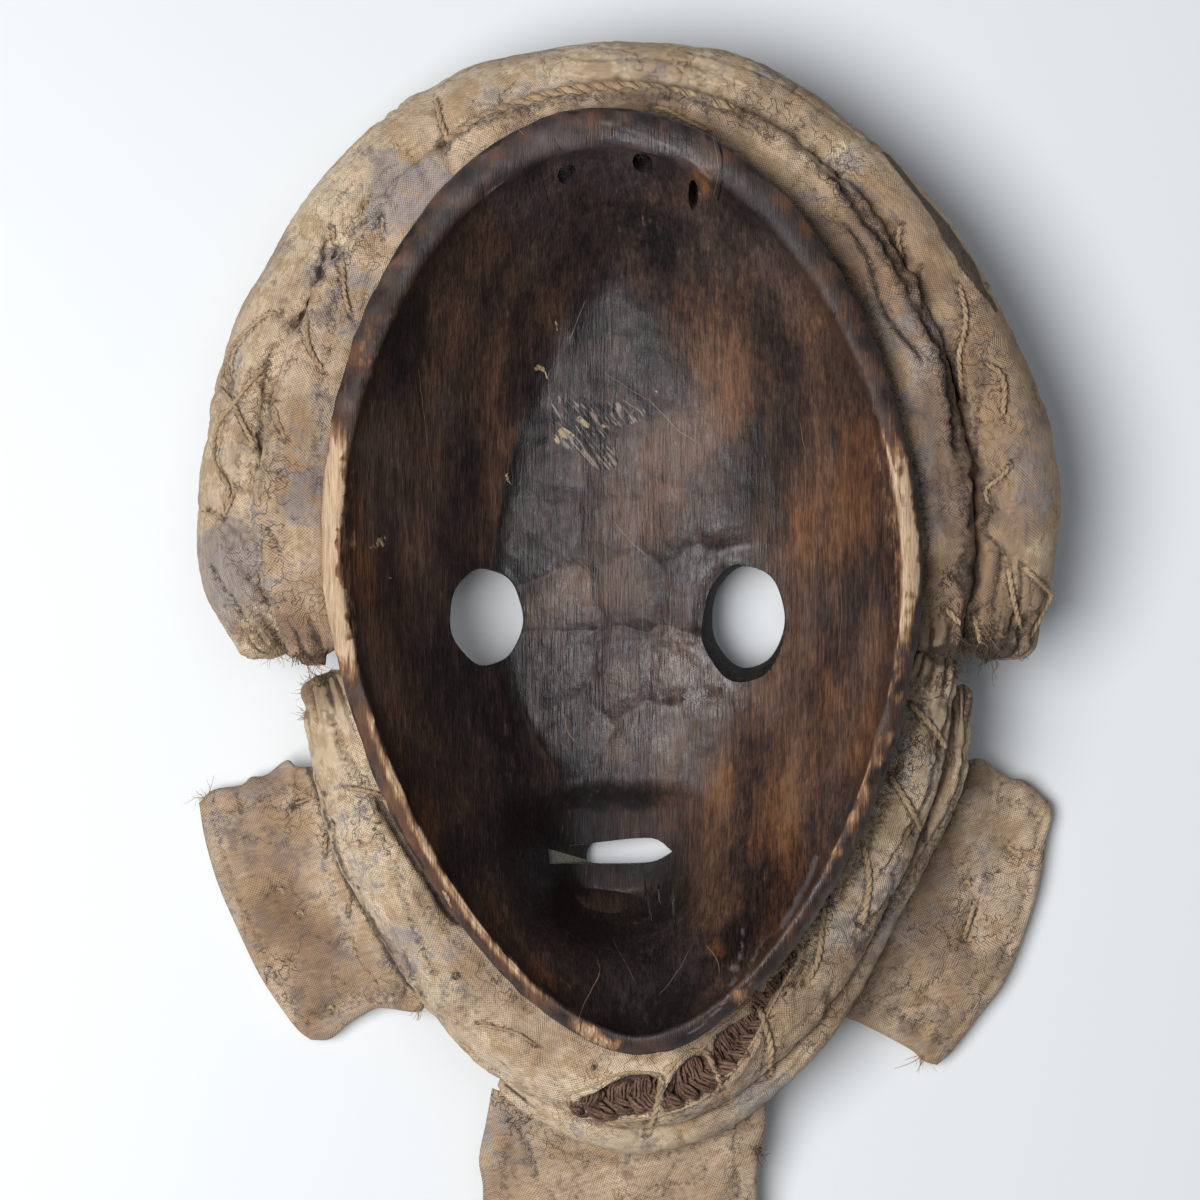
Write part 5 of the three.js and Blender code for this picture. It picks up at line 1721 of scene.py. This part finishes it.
# Folds of the cloth: width, depth and raised lip in millimetres, and the path in pixels. The lip is on the
# right of the path as it runs.
FOLDS = [
    (0.8, 1.0, 1.0, ((330, 236), (322, 262), (305, 305), (290, 330))),
    (0.8, 0.9, 0.8, ((290, 330), (270, 356), (262, 405), (258, 450), (256, 480))),
    (0.5, 0.7, 0.5, ((345, 240), (330, 262), (324, 285), (300, 322))),
    (0.5, 0.6, 0.5, ((282, 350), (280, 385), (272, 430), (272, 480))),
    (0.5, 0.6, 0.4, ((395, 198), (372, 240), (352, 268), (335, 300), (330, 340))),
    (0.5, 0.6, 0.4, ((402, 232), (376, 262), (366, 292), (362, 330))),
    (0.7, 1.0, 0.7, ((389, 206), (362, 229), (341, 247))),
    (0.8, 1.0, 0.5, ((208, 560), (219, 583), (236, 606), (245, 626))),
    (0.8, 1.0, 0.5, ((270, 522), (276, 540), (282, 555))),
    (0.8, 0.8, 0.5, ((252, 500), (262, 545), (274, 590))),
    (0.7, 0.7, 0.4, ((225, 530), (240, 560), (262, 596))),
    (1.0, 1.5, 1.0, ((820, 164), (839, 184), (860, 217), (877, 236), (889, 257), (903, 281), (909, 310))),
    (1.0, 1.5, 1.0, ((903, 290), (930, 339), (940, 357), (949, 391), (953, 419), (958, 470))),
    (0.8, 1.3, 1.0, ((829, 215), (849, 227), (866, 252), (873, 270), (880, 300), (894, 326), (913, 348),
                     (927, 374))),
    (0.7, 1.1, 0.7, ((921, 257), (919, 288), (921, 315), (933, 343))),
    (0.8, 1.1, 0.7, ((982, 490), (988, 515), (986, 532), (1004, 553), (1011, 566))),
    (0.8, 1.0, 0.6, ((990, 360), (978, 410), (975, 470), (968, 540))),
    (0.9, 1.2, 0.8, ((1002, 540), (996, 580), (990, 620))),
    (0.8, 1.0, 0.5, ((1024, 560), (1022, 600), (1012, 636))),
    (0.6, 0.8, 0.5, ((328, 706), (353, 762), (368, 788))),
    (1.2, 2.4, 0.6, ((369, 785), (396, 830), (430, 882), (453, 915), (472, 934))),
    (0.6, 0.7, 0.4, ((345, 800), (362, 850), (392, 905))),
    (0.7, 0.9, 0.6, ((976, 694), (965, 767), (953, 806), (923, 856), (886, 907), (847, 957))),
    (0.7, 0.9, 0.6, ((955, 690), (945, 750), (925, 810), (900, 850), (868, 895))),
    (0.6, 0.8, 0.5, ((830, 880), (815, 930), (800, 975), (792, 1010))),
    (0.6, 0.6, 0.4, ((840, 970), (815, 1040), (770, 1090), (700, 1122), (620, 1134))),
    (0.6, 0.7, 0.5, ((560, 1108), (585, 1119), (631, 1125), (677, 1114), (716, 1092), (738, 1068),
                     (760, 1034))),
    (0.6, 0.8, 0.5, ((523, 1125), (557, 1148), (608, 1170))),
    (0.7, 0.9, 0.5, ((500, 1105), (530, 1150), (540, 1190))),
    (0.6, 0.7, 0.4, ((740, 1118), (735, 1150), (742, 1198))),
    (0.6, 0.7, 0.4, ((300, 770), (296, 790), (300, 815))),
    (0.6, 0.8, 0.4, ((236, 790), (240, 800), (244, 815))),
    (0.6, 0.8, 0.4, ((1005, 778), (1000, 792), (1003, 810))),
    (0.7, 0.9, 0.5, ((300, 1012), (330, 1014), (365, 1004))),
    (0.6, 0.7, 0.4, ((760, 62), (762, 85), (757, 105))),
    (0.6, 0.7, 0.4, ((560, 52), (600, 60), (660, 58), (720, 72))),
]
# Stitches: the cord's radius in millimetres and its path in pixels.
CORDS = [
    (0.59, ((282, 313), (266, 315), (247, 330), (232, 347), (224, 368), (222, 384))),
    (0.59, ((219, 386), (233, 404), (245, 428), (257, 449))),
    (0.59, ((268, 364), (247, 386), (234, 403), (217, 426), (214, 447), (216, 466), (228, 487), (226, 511))),
    (0.53, ((332, 225), (336, 246))),
    (0.53, ((383, 217), (382, 238))),
    (0.59, ((343, 255), (345, 296), (352, 317))),
    (0.59, ((308, 317), (307, 334), (312, 353), (324, 372))),
    (0.53, ((275, 401), (278, 420), (286, 441))),
    (0.53, ((223, 520), (212, 515), (201, 511))),
    (0.53, ((223, 520), (230, 503), (236, 486))),
    (0.71, ((436, 97), (440, 118), (445, 133), (450, 150))),
    (0.57, ((650, 106), (668, 110), (686, 120), (709, 131))),
    (0.71, ((901, 224), (898, 242), (903, 260))),
    (0.71, ((959, 283), (966, 315), (963, 339), (959, 358), (963, 400))),
    (0.71, ((985, 362), (1001, 374), (1005, 391), (1002, 419))),
    (0.64, ((1013, 463), (1000, 478), (986, 490), (990, 507))),
    (0.71, ((1008, 566), (1014, 600), (1021, 630))),
    (0.71, ((1023, 566), (1040, 582), (1051, 594), (1048, 603), (1030, 637))),
    (0.78, ((944, 607), (955, 618), (967, 633))),
    (0.71, ((973, 612), (978, 632), (983, 651))),
    (0.78, ((909, 703), (928, 722), (942, 741), (951, 765))),
    (0.78, ((889, 775), (903, 795), (917, 820), (923, 837))),
    (0.78, ((864, 845), (869, 873), (868, 898), (862, 925))),
    (0.78, ((826, 895), (822, 930), (818, 960), (806, 985))),
    (0.85, ((661, 1078), (659, 1095), (654, 1116), (646, 1136))),
    (0.85, ((705, 1050), (713, 1065), (718, 1077), (722, 1089))),
    (0.85, ((756, 999), (764, 1022), (771, 1048), (768, 1076))),
    (0.53, ((343, 788), (362, 790), (384, 795))),
    (0.53, ((442, 887), (448, 899), (453, 910))),
    (0.47, ((477, 1024), (497, 1028), (516, 1033), (539, 1047))),
    (0.53, ((330, 823), (326, 840), (325, 856))),
    (0.53, ((356, 890), (350, 902), (348, 915))),
    (0.47, ((292, 805), (306, 800), (318, 796))),
    (0.47, ((400, 960), (408, 975), (405, 990))),
    (0.64, ((976, 901), (970, 920), (963, 941))),
]
# Tufts of the flaps, in pixels, and the knots on them.
TUFTS = [(279, 890), (300, 913), (289, 964), (966, 883), (970, 940), (330, 1008), (1010, 850),
         (560, 1260), (680, 1250), (620, 1320)]
KNOT_RADIUS = 0.65
KNOTS = [(KNOT_RADIUS, ((x - 5, y + 2), (x, y - 2), (x + 5, y + 2), (x + 8, y + 6))) for x, y in TUFTS]
# Yarns along the worn edges at the chin, where the cover has come open over its plaited core.
CHIN_EDGES = [
    (0.42, ((560, 1097), (590, 1087), (611, 1077), (633, 1072), (656, 1074), (666, 1077))),
    (0.42, ((664, 1078), (678, 1060), (689, 1051), (703, 1048), (716, 1031), (734, 1018), (755, 997))),
    (0.45, ((560, 1097), (573, 1108), (595, 1118), (620, 1121), (643, 1119), (666, 1114), (689, 1106),
           (706, 1097), (717, 1083))),
    (0.42, ((717, 1083), (733, 1071), (748, 1050), (762, 1025), (775, 1000), (795, 964))),
]
# Outlines of the openings in the jaw roll's cover, and the way its plaited core runs under them.
OPENINGS = [
    ((578, 1101), (598, 1091), (613, 1082), (633, 1074), (650, 1075), (660, 1084), (660, 1097), (654, 1112),
     (633, 1119), (610, 1121), (590, 1115)),
    ((664, 1093), (674, 1074), (686, 1060), (699, 1055), (708, 1061), (714, 1076), (713, 1089), (698, 1101),
     (681, 1108), (665, 1110)),
    ((714, 1060), (713, 1046), (717, 1034), (731, 1024), (747, 1016), (757, 1014), (762, 1025), (756, 1042),
     (745, 1062), (730, 1077), (716, 1078)),
    ((748, 1010), (762, 992), (777, 972), (790, 952), (797, 956), (786, 976), (771, 1000), (760, 1013)),
]
PLAIT_PATH = ((572, 1104), (595, 1104), (620, 1098), (645, 1094), (672, 1087), (695, 1077), (715, 1063),
              (735, 1044), (752, 1022), (768, 1000), (784, 976), (795, 955))


# Cords, fibres and the plait

# Headings that no tube or cord runs along, from which its sides are turned out.
ANY_SIDE, NEARLY_UP = (0.3, 0.5, 0.81), (0.2, 0.1, 0.97)


class Bundle:
    """Tubes gathered into one mesh."""

    def __init__(self):
        self.points, self.faces, self.count = [], [], 0

    def tube(self, line, radius, sides=6):
        along = unit(np.gradient(line, axis=0))
        side = np.cross(along[0], ANY_SIDE)
        sides_at = []
        for step in along:
            side = unit(side - step * (side @ step))
            sides_at.append(side)
        side = np.array(sides_at)[:, None]
        rise = np.cross(along, side[:, 0])[:, None]
        turn = (np.arange(sides) / sides * 2 * math.pi)[None, :, None]
        radius = np.broadcast_to(radius, len(line))[:, None, None]
        rings = line[:, None] + radius * (np.cos(turn) * side + np.sin(turn) * rise)
        self.points.append(rings.reshape(-1, 3))
        self.faces.append(ring_faces(len(line), sides) + self.count)
        self.count += rings.shape[0] * sides

    def twist(self, line, radius, pitch=None, plies=2, sides=6, hand=1):
        """A cord of plies laid round a line."""
        pitch = pitch or radius * 6
        along = unit(np.gradient(line, axis=0))
        side = unit(np.cross(along, NEARLY_UP))
        rise = np.cross(along, side)
        run = run_of(line)
        ends = np.ones(len(line))
        ends[[0, -1]] = 0.3
        for ply in range(plies):
            turn = (hand * run / pitch + ply / plies) * 2 * math.pi
            offset = np.cos(turn)[:, None] * side + np.sin(turn)[:, None] * rise
            self.tube(line + 0.48 * radius * offset, 0.62 * radius * ends, sides)

    def make(self, name):
        return mesh_object(name, np.concatenate(self.points), np.concatenate(self.faces))


EYE = np.array([*CAMERA_AT, RIM_PLANE + CAMERA_RISE])


def surface_under(surfaces, pixel):
    """The highest surface point that the camera sees at a pixel, or None for the table."""
    heading = under(pixel, 0) - EYE
    length = np.linalg.norm(heading)
    start, heading = Vector(EYE), Vector(heading / length)
    hits = [surface.ray_cast(start, heading, length) for surface in surfaces]
    hits = [hit for hit in hits if hit[0] is not None]
    if not hits:
        return None
    return np.array(min(hits, key=lambda hit: hit[3])[0])


def lay(surfaces, path, lift, step=0.6, dive=0.0, taut=3):
    """Points of a cord laid over the surfaces along a path of pixels, its ends sunk into them."""
    length = np.sum(np.linalg.norm(np.diff(np.asarray(path, float), axis=0), axis=1)) * PIXEL
    line = smooth_line(path, max(6, int(length / step)))
    found = [surface_under(surfaces, pixel) for pixel in line]
    known = [i for i, hit in enumerate(found) if hit is not None]
    if not known:
        return under(line, 2.0)
    height = np.interp(np.arange(len(line)), known, [found[i][2] for i in known])
    for _ in range(taut):
        padded = np.concatenate([height[:1], height, height[-1:]])
        height = np.maximum(height, (padded[:-2] + padded[1:-1] + padded[2:]) / 3)
    end = np.minimum(np.arange(len(line)), np.arange(len(line))[::-1]) * step
    height = height + mix(-dive, lift, smoothstep(end, 0, 2.2) if dive else np.ones(len(line)))
    return under(line, height)


def stretches(line, steepest=2.0):
    """The parts of a cord between the places where the surface under it drops away."""
    drops = np.flatnonzero(np.abs(np.diff(line[:, 2])) > steepest)
    start = 0
    for stop in np.append(drops, len(line) - 1):
        if stop - start > 3:
            yield line[start : stop + 1]
        start = stop + 1


def sew(surfaces, cords, name):
    bundle = Bundle()
    for i, (radius, path) in enumerate(cords):
        for line in stretches(lay(surfaces, path, 0.7 * radius, dive=1.1)):
            bundle.twist(line, radius, hand=(1, -1)[i % 2])
    return bundle.make(name)


# Frayed places: pixel, spread in pixels, heading in degrees in the picture, length in millimetres and count.
PALE_FRAYS = [
    (255, 636, 14, 60, 4.5, 70), (276, 644, 12, 40, 4.5, 60), (315, 668, 8, 60, 4, 50),
    (312, 690, 8, 200, 4, 50), (846, 986, 9, 190, 5.5, 90), (841, 960, 6, 210, 4.5, 50),
    (920, 1057, 4, 100, 5, 26), (205, 797, 5, 245, 4.5, 30), (289, 964, 3, 20, 2.5, 20),
    (300, 913, 3, 20, 2.5, 20), (279, 890, 3, 200, 2.5, 20), (966, 883, 4, 0, 3, 26),
    (516, 120, 14, 300, 2.5, 60), (594, 1067, 4, 80, 2.5, 20), (889, 800, 5, 200, 3, 30),
    (1000, 486, 8, 90, 3, 30), (620, 1190, 10, 90, 3, 30), (456, 976, 5, 60, 2.5, 24),
    (420, 1012, 6, 70, 4, 30), (308, 716, 5, 210, 3, 24), (980, 628, 20, 90, 4, 70),
]
DARK_FRAYS = [
    (985, 645, 26, 100, 5.5, 240), (962, 640, 16, 120, 4.5, 140), (955, 668, 10, 80, 4, 90),
    (948, 575, 8, 60, 3.5, 50), (918, 742, 16, 110, 3, 110), (905, 770, 12, 120, 3, 80),
    (940, 680, 10, 60, 4, 60), (300, 655, 8, 70, 4, 50), (322, 684, 6, 230, 3.5, 40),
    (612, 1100, 16, 0, 2.5, 70), (690, 1085, 14, 0, 2.5, 60), (738, 1044, 12, 300, 2.5, 60),
    (775, 985, 12, 300, 3, 70), (985, 286, 6, 30, 1.5, 30), (757, 1150, 6, 40, 3, 40),
    (520, 1118, 10, 60, 2.5, 40),
]

FIBRE_POINTS = 9


def fray(surfaces, spots, name, seed, radius):
    """Loose fibres that stand out of the cloth's worn places."""
    chance = np.random.RandomState(seed)
    bundle = Bundle()
    for x, y, spread, heading, length, count in spots:
        for _ in range(count):
            pixel = (x, y) + chance.normal(0, spread / 2, 2)
            root = surface_under(surfaces, pixel)
            if root is None:
                continue
            turn = math.radians(heading + chance.normal(0, 55))
            going = np.array([math.cos(turn), -math.sin(turn), chance.uniform(-0.35, 0.45)])
            curl = chance.normal(0, 1.3, 3) * (1, 1, 0.4)
            long = 0.75 * length * chance.uniform(0.25, 1.3)
            t = np.linspace(0, 1, FIBRE_POINTS)[:, None]
            bent = 0.55 * t**2 * curl + 0.16 * np.sin(6 * t + curl[0]) * curl[::-1]
            line = root + long * (t * going + bent * (1 - 0.4 * t))
            line[:, 2] = np.maximum(line[:, 2] - 0.2, 0.25)
            thick = radius * chance.uniform(0.5, 1.3) * np.linspace(1, 0.4, FIBRE_POINTS)
            bundle.tube(line, thick, 3)
    return bundle.make(name)


PLAIT_STRANDS, PLAIT_YARNS = 4, 6
PLAIT_TURN, PLAIT_YARN_TURN = 12.0, 11.0
PLAIT_YARN_RADIUS = 0.42
# The plait's half width in millimetres at shares of its way.
PLAIT_WIDTHS = [(0, 1.8), (0.12, 3.6), (0.3, 4.5), (0.75, 4.3), (1, 2.0)]
PLAIT_STEP = 0.5


def plait_bed(surfaces):
    """The plait's middle line, level over the floors of the openings that it lies in."""
    line = lay(surfaces, PLAIT_PATH, 0.0, step=PLAIT_STEP, taut=0)
    reach, soft = 14, 12
    low = np.array([line[max(0, i - reach) : i + reach, 2].min() for i in range(len(line))])
    level = np.ones(2 * soft + 1) / (2 * soft + 1)
    line[:, 2] = np.convolve(np.pad(low, soft, "edge"), level, "valid") + 2.6
    return line


def plait(surfaces):
    """The core's flat plait, each strand a bundle of twisted fibre yarns, down in the worn openings."""
    line = plait_bed(surfaces)
    run = np.arange(len(line)) * PLAIT_STEP
    along = unit(np.gradient(line, axis=0))
    side = unit(np.cross(along, (0, 0, 1)))
    rise = np.cross(side, along)
    chance = np.random.RandomState(7)
    wide = np.interp(run / run[-1], *np.transpose(PLAIT_WIDTHS)) * (1 + 0.2 * noise(line, 6, 76))
    bundle = Bundle()
    for strand in range(PLAIT_STRANDS):
        turn = run / PLAIT_TURN * 2 * math.pi + strand / PLAIT_STRANDS * 2 * math.pi
        turn = turn + 0.8 * noise(line + 30 * strand, 9, 75)
        middle = line + (wide * np.sin(turn))[:, None] * side + (1.5 * np.sin(2 * turn))[:, None] * rise
        flat = np.cross(unit(np.gradient(middle, axis=0)), rise)
        for yarn in range(PLAIT_YARNS):
            laid = (yarn / PLAIT_YARNS + run / PLAIT_YARN_TURN) * 2 * math.pi
            out = (1.15 + 0.2 * chance.uniform(-1, 1)) * np.cos(laid)[:, None] * flat
            out = out + 0.75 * np.sin(laid)[:, None] * rise
            shake = 0.5 * noises(middle + 40 * yarn, 2.6, (71, 72, 73))
            bundle.tube(middle + out + shake, PLAIT_YARN_RADIUS * chance.uniform(0.55, 1.35), 6)
    return bundle.make("plaited_core_strands")


ROPE_STEP, ROPE_RADIUS, ROPE_TURN = 0.7, 1.5, 8.0
LOOSE_FIBRES, LOOSE_RADIUS, LOOSE_REACH = 5, 0.16, 1.45


def crown_rope():
    """The rope in the groove over the forehead, of two thick plies with a few loose fibres."""
    centre, _, _, _ = roll_form("rope", ROPE_STEP)
    bundle = Bundle()
    middle = centre + 0.3 * noises(centre, 9, (81, 82, 83))
    bundle.twist(middle, ROPE_RADIUS, pitch=ROPE_TURN, sides=10)
    for i in range(LOOSE_FIBRES):
        turn = centre[:, 0] / ROPE_TURN * 2 * math.pi + i
        loose = np.stack([np.zeros(len(centre)), LOOSE_REACH * np.cos(turn), LOOSE_REACH * np.sin(turn)], -1)
        bundle.tube(middle + loose, LOOSE_RADIUS, 4)
    return bundle.make("crown_rope_twist")


def place_piece(obj, look, node=None):
    if look:
        obj.data.materials.append(look)
    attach(obj, "root")
    if node:
        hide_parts(node)


look_straight_down()
light_the_table()
lay_table()

shell, shell_surface = carve_shell()
crown, crown_surface = stuffed_roll("crown", "crown_roll_cloth", [shell_surface])
inner, inner_surface = stuffed_roll("inner_crown", "inner_crown_roll_cloth", [shell_surface, crown_surface])
beside_jaw = [shell_surface, crown_surface, inner_surface]
jaw, jaw_surface = stuffed_roll("jaw", "jaw_roll_cloth", beside_jaw, OPENINGS)
jaw_edge, edge_surface = stuffed_roll("jaw_edge", "jaw_edge_roll_cloth", [jaw_surface, crown_surface])
flaps = {name: stuffed_flap(name) for name in FLAPS}
surfaces = [shell_surface, crown_surface, inner_surface, jaw_surface, edge_surface]
surfaces += [surface for _, surface in flaps.values()]

core = plait([jaw_surface])
rope = crown_rope()
stitches = sew(surfaces, CORDS + KNOTS, "stitch_cords")
chin_edges = sew([jaw_surface, edge_surface, shell_surface], CHIN_EDGES, "chin_edge_yarns")
pale_frays = fray(surfaces, PALE_FRAYS, "pale_frayed_threads", seed=91, radius=0.12)
dark_frays = fray(surfaces, DARK_FRAYS, "dark_frayed_fibres", seed=92, radius=0.14)

shell.data.materials.append(wood_look())
shell.data.materials.append(bore_look())
clean_cotton = cloth_look("cotton_clean", *CLEAN_COTTON)
worn_cotton = cloth_look("cotton_worn", *WORN_COTTON)
pale_cord = fibre_look("pale_cord", *PALE_CORD)
plaited_fibre = fibre_look("plaited_fibre", *PLAITED_FIBRE)
dark_fibre = fibre_look("dark_fibre", *DARK_FIBRE)

place_piece(shell, None, "face_shell")
place_piece(crown, clean_cotton, "crown_roll")
place_piece(inner, worn_cotton, "inner_crown_roll")
place_piece(jaw, clean_cotton, "jaw_roll")
place_piece(jaw_edge, clean_cotton, "jaw_edge_roll")
for name, (flap, _) in flaps.items():
    place_piece(flap, worn_cotton, name)
place_piece(core, plaited_fibre, "plaited_core")
place_piece(rope, pale_cord, "crown_rope")
place_piece(stitches, pale_cord)
place_piece(chin_edges, pale_cord)
place_piece(pale_frays, pale_cord)
place_piece(dark_frays, dark_fibre)
